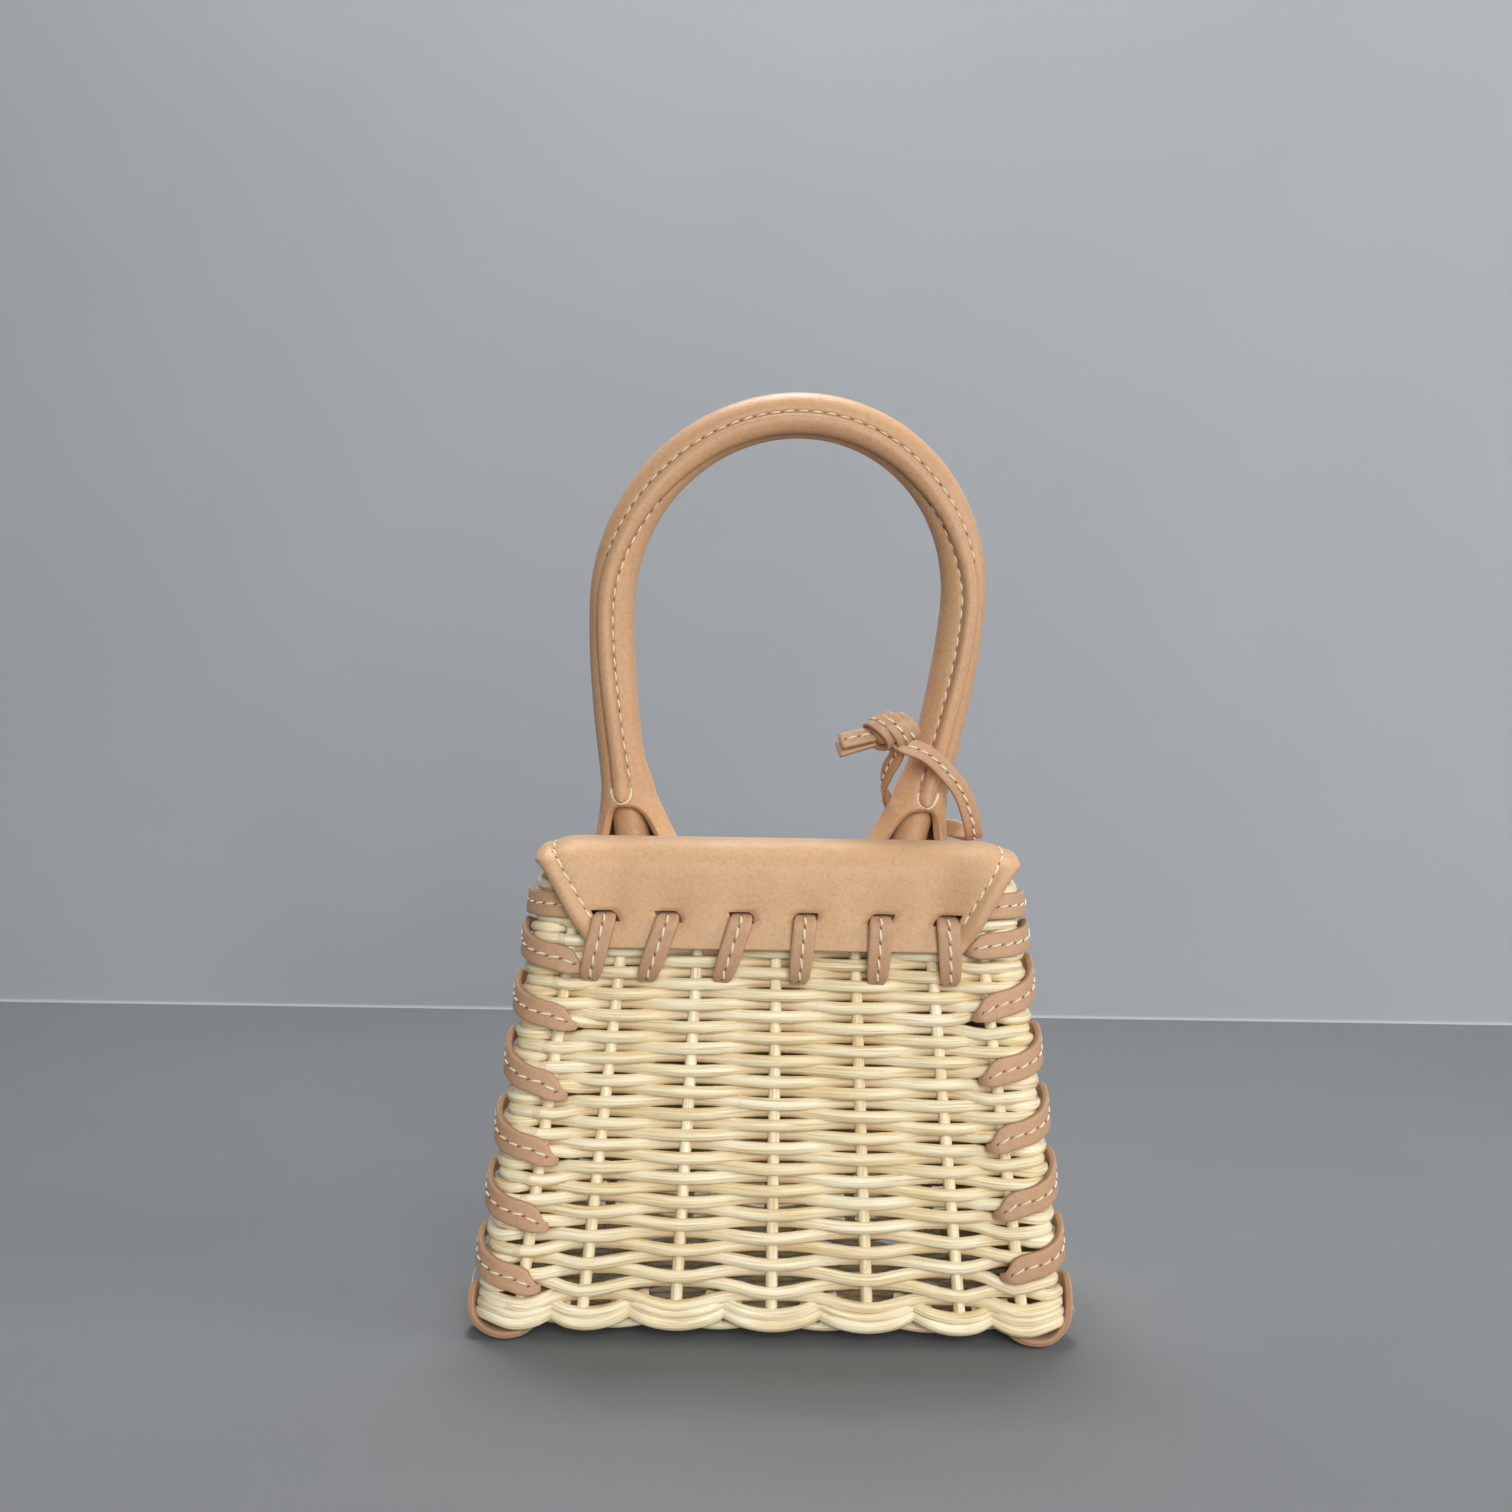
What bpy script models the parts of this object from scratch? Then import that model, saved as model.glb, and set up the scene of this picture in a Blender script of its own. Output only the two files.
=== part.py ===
"""Mini basket bag: a woven cane body, a leather cover laced to one long wall, four laced corners,
a rolled handle with flared ends, and a knotted leather tie round one leg of the handle.

The laced wall faces -Y. The origin is on the floor, under the middle of the body.
"""

import math

import bmesh
import bpy
from mathutils import Matrix, Vector

MM = 0.001

# Woven body
BASE_WIDTH = 128.5 * MM
RIM_WIDTH = 104.6 * MM
BASE_DEPTH = 62 * MM
RIM_DEPTH = 45.8 * MM
RIM_HEIGHT = 101.6 * MM
CORNER_RADIUS = 9 * MM
WALL = 4.2 * MM
RELIEF = 1.3 * MM
COURSES = 18
FOOT_SPREAD = 0.12
GAP = 0.35 * MM

# Stakes, as shares of each wall's straight half, and the points on each corner's arc in degrees
LONG_STAKES = (-0.977, -0.733, -0.372, 0.0, 0.372, 0.733, 0.977)
SIDE_STAKES = (-0.8, 0.0, 0.8)
CORNER_ANGLES = (15, 45, 75)

# Foot border, which is lowest at the corners and scalloped between the stakes, and rim border
BORDER_RADIUS = 1.6 * MM
BORDER_LOW = 1.9 * MM
ARCH_RISE = 1.2 * MM
ARCH_FADE = 40 * MM
SCALLOP = 1.5 * MM
BORDER_SIDES = 6
WALL_TOP = RIM_HEIGHT - 2 * BORDER_RADIUS - GAP

# Base
BASE_THICKNESS = 2.1 * MM
BASE_UNDERSIDE = 2.6 * MM

# Lace, which binds the corners and holds the cover
LACE_WIDTH = 5.1 * MM
LACE_THICKNESS = 1.5 * MM
LACE_CLEARANCE = 0.55 * MM
LACE_BEND = 1.4 * MM
LACE_ARC_STEP = 30
HOLE_CLEARANCE = 0.45 * MM
HOLE_SLIT = 3.9 * MM
FIRST_DROP = 4.2 * MM
INNER_DROP = 2.7 * MM
LONG_HOLE_INSET = 12 * MM
SIDE_HOLE_INSET = 12 * MM

# Heights of a corner's holes in the long wall, as shares of RIM_HEIGHT: left corners, right corners
LACE_TURNS = (
    (0.881, 0.890),
    (0.767, 0.819),
    (0.646, 0.673),
    (0.498, 0.544),
    (0.367, 0.406),
    (0.232, 0.270),
    (0.107, 0.145),
)

# Leather cover
COVER_THICKNESS = 2 * MM
COVER_GAP = 0.5 * MM
COVER_EDGE_LIFT = 2.2 * MM
COVER_KNEE = RIM_WIDTH / 2 - LONG_HOLE_INSET - LACE_THICKNESS / 2
COVER_KNEE_RUN = 1.8 * MM
COVER_BEND = 5 * MM
COVER_SAG = 1.5 * MM
COVER_BACK_DROP = 22.3 * MM
COVER_FRONT_DROP = 65.5 * MM
COVER_HALF_WIDTH = RIM_WIDTH / 2 + 0.3 * MM
RIM_TO_COVER = 4.7 * MM
COVER_CROWN = RIM_HEIGHT + RIM_TO_COVER - COVER_THICKNESS / 2
COVER_BACK_EDGE = COVER_CROWN - COVER_BACK_DROP
COVER_FRONT_EDGE = COVER_CROWN - COVER_FRONT_DROP

# Half width of the cover: the run it is on, the share of that run from its lower edge, the share
# of COVER_HALF_WIDTH there
BACK_TAPER = ((0.0, 0.768), (0.15, 0.803), (0.25, 0.826), (0.6, 0.91), (1.0, 0.992))
FRONT_TAPER = (
    (0.0, 0.42),
    (0.06, 0.56),
    (0.16, 0.655),
    (0.4, 0.70),
    (0.7, 0.77),
    (0.78, 0.82),
    (0.86, 0.87),
    (1.0, 0.992),
)

# Straps through the cover's slots: the upper end and the lower end, as shares of COVER_HALF_WIDTH
COVER_STRAPS = (
    (-0.692, -0.716),
    (-0.439, -0.528),
    (-0.143, -0.222),
    (0.114, 0.092),
    (0.420, 0.409),
    (0.690, 0.708),
)
STRAP_WIDTH = 4.9 * MM
STRAP_SLOT_RISE = 6.6 * MM
STRAP_HOLE_DROP = 6.4 * MM
STRAP_CLEARANCE = 0.7 * MM

# Handle
HANDLE_RADIUS = 5.2 * MM
HANDLE_SPAN = 80.6 * MM
HANDLE_FOOT_SPAN = 66.4 * MM
HANDLE_LEG = 48.7 * MM
HANDLE_RISE = 42 * MM
HANDLE_LEAN = 4.9 * MM
HANDLE_SHIFT = -0.9 * MM
HANDLE_FOOT_SWELL = 1.0 * MM
WELT_HEIGHT = 1.7 * MM
WELT_TILT = 32
LEG_STATIONS = 7
ARCH_STATIONS = 16

# Flared leather ends of the handle, with the core that shows in their arched mouths
FLARE_HEIGHT = 6.6 * MM
FLARE_WALL = 1.6 * MM
FLARE_FOOT_RADIUS = 10.2 * MM
FLARE_FOOT_DEPTH = 8.6 * MM
FLARE_STEPS = 4
FLARE_SIDES = 16
MOUTH_WIDTH = 15.6 * MM
MOUTH_RISE = 5.6 * MM
CORE_RADIUS = 3.5 * MM

# Tie: its route round the right leg as (across, back, up) from the cover under the leg, with the
# side that its face turns to, and the knot's place from the leg's foot
TIE_WIDTH = 3.7 * MM
TIE_THICKNESS = 1.2 * MM
TIE_ROUTE = (
    (0.1, -9.4, 20.7, (0.1, -1, 0.25)),
    (4.2, -9.3, 17.8, (0.1, -1, 0.2)),
    (7.3, -8.8, 14.5, (0.1, -1, 0.15)),
    (9.5, -7.8, 11.2, (0.1, -1, 0.1)),
    (11.0, -6.6, 7.6, (0.15, -1, 0)),
    (12.0, -5.2, 4.4, (0.2, -1, -0.2)),
    (12.6, -3.2, 2.2, (0.3, -0.6, -0.9)),
    (12.8, 0.2, 1.6, (0.15, 0, -1)),
    (12.0, 4.4, 2.1, (0.4, 0.3, -0.8)),
    (9.8, 8.6, 3.0, (0.7, 0.7, -0.3)),
    (5.6, 11.4, 3.6, (0.2, 1, 0)),
    (1.0, 11.2, 4.8, (-0.2, 1, 0)),
    (-3.4, 9.0, 7.0, (-0.8, 0.7, 0)),
    (-6.6, 5.4, 10.0, (-1, 0.3, 0)),
    (-7.8, 0.6, 13.4, (-1, -0.2, 0)),
    (-7.2, -4.4, 17.0, (-1, -0.5, -0.2)),
    (-5.8, -8.0, 20.2, (-1, -0.5, -0.2)),
)
KNOT_OFFSET = Vector((-7.3, -10, 18.2)) * MM
KNOT_LENGTH = 10.2 * MM
KNOT_RADIUS = 4.7 * MM
KNOT_WRAPS = 3
KNOT_SIDES = 12
KNOT_DIRECTION = Vector((-0.95, -0.12, -0.24)).normalized()
TAIL_LENGTH = 6.6 * MM
TAIL_SPREAD = 4

UP = Vector((0, 0, 1))


def rest_scene():
    """Removes what the file opens with and returns the collections for parts and cutters."""
    for item in list(bpy.data.objects):
        bpy.data.objects.remove(item)
    parts = bpy.data.collections.new("mini_basket_bag")
    cutters = bpy.data.collections.new("cutters")
    for collection in (parts, cutters):
        bpy.context.scene.collection.children.link(collection)
    return parts, cutters


def principled(name, colour, roughness):
    """A plain Principled material."""
    material = bpy.data.materials.new(name)
    material.use_nodes = True
    shader = material.node_tree.nodes["Principled BSDF"]
    shader.inputs["Base Color"].default_value = (*colour, 1)
    shader.inputs["Roughness"].default_value = roughness
    shader.inputs["Metallic"].default_value = 0
    return material


def add_object(name, mesh, material, collection):
    """Links a new object for a mesh and gives it its material."""
    item = bpy.data.objects.new(name, mesh)
    collection.objects.link(item)
    if material:
        mesh.materials.append(material)
    else:
        item.hide_render = True
        item.display_type = "WIRE"
    return item


def mesh_from(name, points, faces):
    """A mesh of points and faces, as triangles with their normals turned outwards."""
    mesh = bpy.data.meshes.new(name)
    mesh.from_pydata([tuple(p) for p in points], [], faces)
    shape = bmesh.new()
    shape.from_mesh(mesh)
    bmesh.ops.recalc_face_normals(shape, faces=shape.faces)
    bmesh.ops.triangulate(shape, faces=shape.faces)
    shape.to_mesh(mesh)
    shape.free()
    return mesh


def loft_faces(rings, sides, closed):
    """Quads between successive rings of points; closed joins the last ring to the first."""
    faces = []
    for ring in range(rings if closed else rings - 1):
        following = (ring + 1) % rings
        for side in range(sides):
            beside = (side + 1) % sides
            faces.append(
                (
                    ring * sides + side,
                    ring * sides + beside,
                    following * sides + beside,
                    following * sides + side,
                )
            )
    return faces


def loft(name, rings, closed=False):
    """A solid through rings of equal point counts, capped at both ends unless closed."""
    sides = len(rings[0])
    faces = loft_faces(len(rings), sides, closed)
    if not closed:
        faces.append(tuple(range(sides)))
        faces.append(tuple(range((len(rings) - 1) * sides, len(rings) * sides)))
    return mesh_from(name, [point for ring in rings for point in ring], faces)


def smooth_step(value):
    """0 to 1 with soft ends."""
    value = min(1, max(0, value))
    return value * value * (3 - 2 * value)


def from_table(table, share):
    """Reads a table of (share, value) rows, straight between its rows."""
    for (low, low_value), (high, high_value) in zip(table, table[1:]):
        if share <= high:
            return low_value + (high_value - low_value) * (share - low) / (high - low)
    return table[-1][1]


# Woven body


def body_half(height):
    """Half the width and half the depth of the weave at a height."""
    share = height / RIM_HEIGHT
    return (
        (BASE_WIDTH + (RIM_WIDTH - BASE_WIDTH) * share) / 2,
        (BASE_DEPTH + (RIM_DEPTH - BASE_DEPTH) * share) / 2,
    )


def column_kinds(between):
    """Columns round the body, anticlockwise from the left end of the -Y wall: the wall's number,
    the place on it, and the number of the stake or None. between adds a column between stakes."""
    columns = []
    for wall in range(4):
        stakes = LONG_STAKES if wall % 2 == 0 else SIDE_STAKES
        for number, place in enumerate(stakes):
            columns.append(("wall", wall, place, number))
            if between and number + 1 < len(stakes):
                columns.append(("wall", wall, (place + stakes[number + 1]) / 2, None))
        for angle in CORNER_ANGLES:
            columns.append(("corner", wall, angle, None))
    return columns


def column_point(column, height, inset):
    """The point of a column at a height, inset from the outer outline."""
    kind, wall, place, _ = column
    half_width, half_depth = body_half(height)
    along = (half_width if wall % 2 == 0 else half_depth) - CORNER_RADIUS
    out = half_depth if wall % 2 == 0 else half_width
    if kind == "wall":
        local = Vector((place * along, -(out - inset), height))
    else:
        angle = math.radians(place)
        radius = CORNER_RADIUS - inset
        local = Vector(
            (
                along + radius * math.sin(angle),
                -(out - CORNER_RADIUS) - radius * math.cos(angle),
                height,
            )
        )
    return Matrix.Rotation(wall * math.pi / 2, 3, "Z") @ local


def is_over(column, course):
    """Whether a course runs outside the stake of a column."""
    kind, wall, _, number = column
    if kind == "corner":
        return True
    return (number + course + wall % 2) % 2 == 0


def arch(column):
    """How far the middle of a wall's lower edge is raised, from 0 at a corner to 1."""
    kind, _, place, _ = column
    return 0 if kind == "corner" else smooth_step((1 - abs(place)) / 0.4)


def lift(column, height):
    """The rise of the lower rows over the arch of each wall."""
    fade = max(0, 1 - height / ARCH_FADE)
    return ARCH_RISE * arch(column) * fade


def wall_foot():
    """Height of the woven wall's lower edge at the corners, just above the foot border."""
    return BORDER_LOW + 2 * BORDER_RADIUS + SCALLOP + GAP


def course_heights():
    """Heights of the courses, each of two canes, which lie further apart near the foot."""
    heights = []
    for course in range(COURSES + 1):
        share = course / COURSES
        spread = share + FOOT_SPREAD * share * (1 - share)
        heights.append(wall_foot() + (WALL_TOP - wall_foot()) * spread)
    return heights


def build_wall(parts, cane):
    """The woven wall: an open shell whose outside is raised where a course passes over a stake."""
    columns = column_kinds(between=False)
    heights = course_heights()
    rings = []
    for course, height in enumerate(heights):
        rings.append(
            [
                column_point(c, height + lift(c, height), 0 if is_over(c, course) else RELIEF)
                for c in columns
            ]
        )
    for height in (heights[-1], heights[0]):
        rings.append([column_point(c, height + lift(c, height), WALL) for c in columns])
    mesh = loft("basket_wall", rings, closed=True)
    return add_object("basket_wall", mesh, cane, parts)


def border_ring(name, centre, radius, parts, cane):
    """A round border of cane that follows the outline; centre gives each column's height."""
    rings = []
    for column in column_kinds(between=True):
        height = centre(column)
        ring = []
        for side in range(BORDER_SIDES):
            angle = 2 * math.pi * (side + 0.5) / BORDER_SIDES
            point = column_point(column, height, WALL / 2 - radius * math.sin(angle))
            point.z = height + radius * math.cos(angle)
            ring.append(point)
        rings.append(ring)
    return add_object(name, loft(name, rings, closed=True), cane, parts)


def foot_centre(column):
    """Height of the foot border's middle: low at the corners, scalloped under the stakes."""
    between_stakes = column[0] == "wall" and column[3] is None
    scallop = SCALLOP if between_stakes else 0
    return BORDER_LOW + BORDER_RADIUS + ARCH_RISE * arch(column) + scallop


def rim_centre(_):
    """Height of the rim border's middle."""
    return WALL_TOP + GAP + BORDER_RADIUS


def build_base(parts, cane):
    """The base: a flat woven plate inside the wall."""
    columns = column_kinds(between=False)
    inset = WALL / 2 + BORDER_RADIUS + GAP
    rings = [
        [column_point(c, height, inset) for c in columns]
        for height in (BASE_UNDERSIDE, BASE_UNDERSIDE + BASE_THICKNESS)
    ]
    return add_object("basket_base", loft("basket_base", rings), cane, parts)


# Laces and straps


def strap_mesh(name, stations, width, closed=False):
    """An open strip through stations of (point, hint of its outward side), as wide as width."""
    points = []
    count = len(stations)
    for index, (point, hint) in enumerate(stations):
        before = stations[index - 1][0] if index or closed else point
        after = stations[(index + 1) % count][0] if index + 1 < count or closed else point
        tangent = (after - before).normalized()
        across = tangent.cross(hint).normalized() * width / 2
        points += [point - across, point + across]
    faces = []
    for index in range(count if closed else count - 1):
        here = 2 * index
        there = 2 * ((index + 1) % count)
        faces.append((here, here + 1, there + 1, there))
    mesh = bpy.data.meshes.new(name)
    mesh.from_pydata([tuple(p) for p in points], [], faces)
    return mesh


def add_strap(name, stations, width, thickness, material, parts, closed=False):
    """A flat strap: an open strip given its thickness on both sides."""
    strap = add_object(name, strap_mesh(name, stations, width, closed), material, parts)
    solid = strap.modifiers.new("thickness", "SOLIDIFY")
    solid.thickness = thickness
    solid.offset = 0
    return strap


def corner_frame(side, face):
    """Maps (u, v, height), inset from a corner's two outer planes, to a point. side is the sign
    of X and face the sign of Y."""

    def place(u, v, height):
        half_width, half_depth = body_half(height)
        return Vector((side * (half_width - u), face * (half_depth - v), height))

    return place


def turn_heights(side):
    """Heights of a corner's holes: those in the long wall, and those in the side wall, of which
    there is one more."""
    long_holes = [row[0 if side < 0 else 1] * RIM_HEIGHT for row in LACE_TURNS]
    side_holes = [long_holes[0] + FIRST_DROP] + [height - INNER_DROP for height in long_holes]
    return long_holes, side_holes


def turn_stations(high, low, end):
    """One turn of corner lace as (u, v, height, outward side in u and v), from the side wall's
    hole at high round the outside to the long wall's at low, and across the inside to end."""
    off = LACE_CLEARANCE + LACE_THICKNESS / 2
    bend = LACE_BEND
    inside = WALL + off
    drop = high - low
    stations = [(-off, SIDE_HOLE_INSET - bend, high - 0.05 * drop, (-1, 0))]
    for step in range(4):
        angle = math.radians(LACE_ARC_STEP * step)
        radius = (CORNER_RADIUS + off) / math.cos(math.radians(LACE_ARC_STEP / 2))
        out = (-math.cos(angle), -math.sin(angle))
        u = CORNER_RADIUS + radius * out[0]
        v = CORNER_RADIUS + radius * out[1]
        stations.append((u, v, high - (0.2 + 0.2 * step) * drop, out))
    stations += [
        (LONG_HOLE_INSET - bend, -off, low + 0.05 * drop, (0, -1)),
        (LONG_HOLE_INSET, bend - off, low, (1, 0)),
        (LONG_HOLE_INSET, inside - bend, low, (1, 0)),
        (LONG_HOLE_INSET - bend, inside + 0.3 * bend, low, (1, 1)),
        (inside + 0.3 * bend, SIDE_HOLE_INSET - bend, end, (1, 1)),
        (inside - bend, SIDE_HOLE_INSET, end, (0, 1)),
        (bend - off, SIDE_HOLE_INSET, end, (0, 1)),
    ]
    return stations


def foot_stations(start):
    """The lace's last run as (u, v, height, outward side): from the last hole at start down the
    side wall, round the foot border and flat under the corner, where the bag stands on it."""
    off = LACE_CLEARANCE + LACE_THICKNESS / 2
    floor = LACE_THICKNESS / 2
    bottom_v = LACE_WIDTH / 2 + 1.2 * MM
    reach = LONG_HOLE_INSET + 3 * MM
    return [
        (-off, SIDE_HOLE_INSET - LACE_BEND, start - 0.04 * (start - floor), (-1, 0, 0)),
        (-off, 0.7 * SIDE_HOLE_INSET, start - 0.35 * (start - floor), (-1, 0, 0)),
        (-0.8 * off, 0.5 * SIDE_HOLE_INSET, start - 0.7 * (start - floor), (-1, 0, -0.3)),
        (0.9 * off, 0.38 * SIDE_HOLE_INSET, floor + 0.5 * MM, (-0.5, 0, -1)),
        (3.2 * off, bottom_v, floor, (0, 0, -1)),
        (0.62 * reach, bottom_v, floor, (0, 0, -1)),
        (reach, bottom_v, floor, (0, 0, -1)),
    ]


def build_corner_lace(side, face, parts, leather):
    """One corner's lace as a single strap from the rim to the floor."""
    place = corner_frame(side, face)
    long_holes, side_holes = turn_heights(side)
    start = side_holes[0]
    route = turn_stations(start, start, start)[-3:]
    for number, low in enumerate(long_holes):
        route += turn_stations(side_holes[number], low, side_holes[number + 1])
    lean = (BASE_WIDTH - RIM_WIDTH) / 2 / RIM_HEIGHT
    stations = [
        (place(u, v, height), Vector((-side * out[0], -face * out[1], lean)))
        for u, v, height, out in route
    ]
    for u, v, height, out in foot_stations(side_holes[-1]):
        stations.append((place(u, v, height), Vector((-side * out[0], -face * out[1], out[2]))))
    name = f"corner_lace_{'left' if side < 0 else 'right'}_{'rear' if face < 0 else 'front'}"
    return add_strap(name, stations, LACE_WIDTH, LACE_THICKNESS, leather, parts)


def add_cutter(name, boxes, cutters):
    """One cutter mesh of separate boxes, each (centre, size), made from cube primitives."""
    shape = bmesh.new()
    for centre, size in boxes:
        scale = Matrix.Diagonal((*size, 1))
        bmesh.ops.create_cube(shape, size=1, matrix=Matrix.Translation(centre) @ scale)
    mesh = bpy.data.meshes.new(name)
    shape.to_mesh(mesh)
    shape.free()
    return add_object(name, mesh, None, cutters)


def cut(item, cutter):
    """Cuts a cutter out of an item."""
    boolean = item.modifiers.new(cutter.name, "BOOLEAN")
    boolean.operation = "DIFFERENCE"
    boolean.solver = "EXACT"
    boolean.object = cutter


def corner_holes():
    """The holes that the corner laces pass through: in the long walls, then in the side walls."""
    through = WALL + 2 * RELIEF + 2 * LACE_BEND
    tall = LACE_WIDTH + 2 * HOLE_CLEARANCE
    long_holes = []
    side_holes = []
    for side in (-1, 1):
        for face in (-1, 1):
            place = corner_frame(side, face)
            long_heights, side_heights = turn_heights(side)
            for height in long_heights:
                centre = place(LONG_HOLE_INSET, WALL / 2, height)
                long_holes.append((centre, (HOLE_SLIT, through, tall)))
            for height in side_heights:
                centre = place(WALL / 2, SIDE_HOLE_INSET, height)
                side_holes.append((centre, (through, HOLE_SLIT, tall)))
    return long_holes, side_holes


# Cover


def cover_profile():
    """The cover's middle line from its lower edge on the -Y wall, over the top, to its lower edge
    on the +Y wall, as (y, z, share of the half width, share of the edge lift)."""
    off = COVER_GAP + COVER_THICKNESS / 2
    shoulder = COVER_CROWN - COVER_BEND
    profile = []

    def side_run(face, edge, taper):
        rows = []
        for share, width in taper:
            height = edge + (shoulder - edge) * share
            rise = smooth_step((share - 0.15) / 0.1)
            rows.append((face * (body_half(height)[1] + off), height, width, rise))
        return rows

    profile += side_run(-1, COVER_BACK_EDGE, BACK_TAPER)
    shoulder_y = body_half(shoulder)[1] + off
    for face, angles in ((-1, (25, 50, 75, 90)), (1, (90, 75, 50, 25))):
        for angle in angles:
            turn = math.radians(angle)
            y = shoulder_y - COVER_BEND * (1 - math.cos(turn))
            z = shoulder + COVER_BEND * math.sin(turn)
            profile.append((face * y, z, 1 if angle < 80 else 0.992, 1 - smooth_step(angle / 75)))
        if face < 0:
            flat = shoulder_y - COVER_BEND
            for share in (-0.6, -0.25, 0.25, 0.6):
                profile.append((share * flat, COVER_CROWN - COVER_SAG * (1 - share * share), 0.985, 0))
    profile += reversed(side_run(1, COVER_FRONT_EDGE, FRONT_TAPER))
    return profile


def cover_columns(half):
    """Places across the cover at a half width, closer where its sides rise over the laces."""
    knee = min(COVER_KNEE, half - 2 * COVER_KNEE_RUN)
    rise = min(COVER_KNEE + COVER_KNEE_RUN, half - COVER_KNEE_RUN)
    right = [0.22 * knee, 0.64 * knee, knee, rise, (rise + half) / 2, half]
    return [-x for x in reversed(right)] + right


def edge_lift(x):
    """How far the cover's sides stand off the weave, to clear the corner laces."""
    return COVER_EDGE_LIFT * smooth_step((abs(x) - COVER_KNEE) / COVER_KNEE_RUN)


def build_cover(parts, leather):
    """The cover: one sheet from the laced wall over the rim and down the other long wall."""
    points = []
    profile = cover_profile()
    for y, z, width, rise in profile:
        for x in cover_columns(width * COVER_HALF_WIDTH):
            points.append((x, y + math.copysign(edge_lift(x) * rise, y), z))
    faces = []
    per_row = len(cover_columns(COVER_HALF_WIDTH))
    for row in range(len(profile) - 1):
        for step in range(per_row - 1):
            here = row * per_row + step
            faces.append((here, here + 1, here + 1 + per_row, here + per_row))
    mesh = bpy.data.meshes.new("cover")
    mesh.from_pydata(points, [], faces)
    cover = add_object("cover", mesh, leather, parts)
    solid = cover.modifiers.new("thickness", "SOLIDIFY")
    solid.thickness = COVER_THICKNESS
    solid.offset = 0
    return cover


def strap_levels():
    """Heights at which the cover's straps pass through the slots and through the wall below."""
    return COVER_BACK_EDGE + STRAP_SLOT_RISE, COVER_BACK_EDGE - STRAP_HOLE_DROP


def build_cover_strap(number, ends, parts, leather):
    """A strap that loops through a slot in the cover, over its edge and through the wall."""
    slot, hole = strap_levels()
    outside = COVER_GAP + COVER_THICKNESS + STRAP_CLEARANCE + LACE_THICKNESS / 2
    on_weave = STRAP_CLEARANCE + LACE_THICKNESS / 2
    inside = -(WALL + on_weave)
    bend = LACE_BEND
    loop = (
        (slot, outside - bend, (0, 0.3, 1)),
        (slot - bend, outside, (0, -1, 0)),
        (COVER_BACK_EDGE + bend, outside, (0, -1, 0)),
        (COVER_BACK_EDGE - 1.4 * bend, outside, (0, -1, 0)),
        (hole + 1.3 * bend, on_weave + 0.25 * bend, (0, -1, 0)),
        (hole, on_weave - bend, (0, -0.3, -1)),
        (hole, inside + bend, (0, 0.3, -1)),
        (hole + bend, inside, (0, 1, 0)),
        (slot - bend, inside, (0, 1, 0)),
        (slot, inside + bend, (0, 0.3, 1)),
    )
    stations = []
    for height, out, hint in loop:
        share = (height - hole) / (slot - hole)
        across = (ends[1] + (ends[0] - ends[1]) * share) * COVER_HALF_WIDTH
        stations.append((Vector((across, -(body_half(height)[1] + out), height)), Vector(hint)))
    name = f"cover_strap_{number + 1}"
    return add_strap(name, stations, STRAP_WIDTH, LACE_THICKNESS, leather, parts, closed=True)


def strap_holes():
    """The slots in the cover and the wall for the straps, as boxes."""
    slot, hole = strap_levels()
    wide = STRAP_WIDTH + 2 * HOLE_CLEARANCE
    tall = 0.8 * HOLE_SLIT
    through = 2 * (WALL + COVER_GAP + COVER_THICKNESS)
    upper = []
    lower = []
    for ends in COVER_STRAPS:
        for height, end, boxes in ((slot, ends[0], upper), (hole, ends[1], lower)):
            centre = Vector((end * COVER_HALF_WIDTH, -body_half(height)[1], height))
            boxes.append((centre, (wide, through, tall)))
    return upper, lower


# Handle


def handle_line():
    """The handle's middle line from its left foot to its right foot, with the share of the way
    up to the crown at each station."""
    points = []
    bottom = cover_top() + FLARE_HEIGHT + 2 * GAP
    spring = bottom + HANDLE_LEG
    legs = [LEG_STATIONS - step for step in range(LEG_STATIONS)]

    def leg(side, step):
        drop = step / LEG_STATIONS
        half = HANDLE_SPAN / 2 - (HANDLE_SPAN - HANDLE_FOOT_SPAN) / 2 * drop**1.6
        return side * half, spring - HANDLE_LEG * drop

    points += [leg(-1, step) for step in legs]
    for step in range(ARCH_STATIONS + 1):
        angle = math.pi * (1 - step / ARCH_STATIONS)
        half = HANDLE_SPAN / 2 * math.cos(angle)
        points.append((half, spring + HANDLE_RISE * math.sin(angle)))
    points += [leg(1, step) for step in reversed(legs)]
    line = []
    for x, z in points:
        share = (z - bottom) / (HANDLE_LEG + HANDLE_RISE)
        line.append((Vector((x + HANDLE_SHIFT + HANDLE_LEAN * share, 0, z)), share))
    return line


def handle_section():
    """The grip's section as (angle from the welt in degrees, share of the welt's height)."""
    welt = ((-34, 0), (-26, 0.45), (-14, 0.9), (0, 1), (14, 0.9), (26, 0.45), (34, 0))
    plain = [(angle, 0) for angle in range(62, 300, 34)]
    return list(welt) + plain


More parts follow.
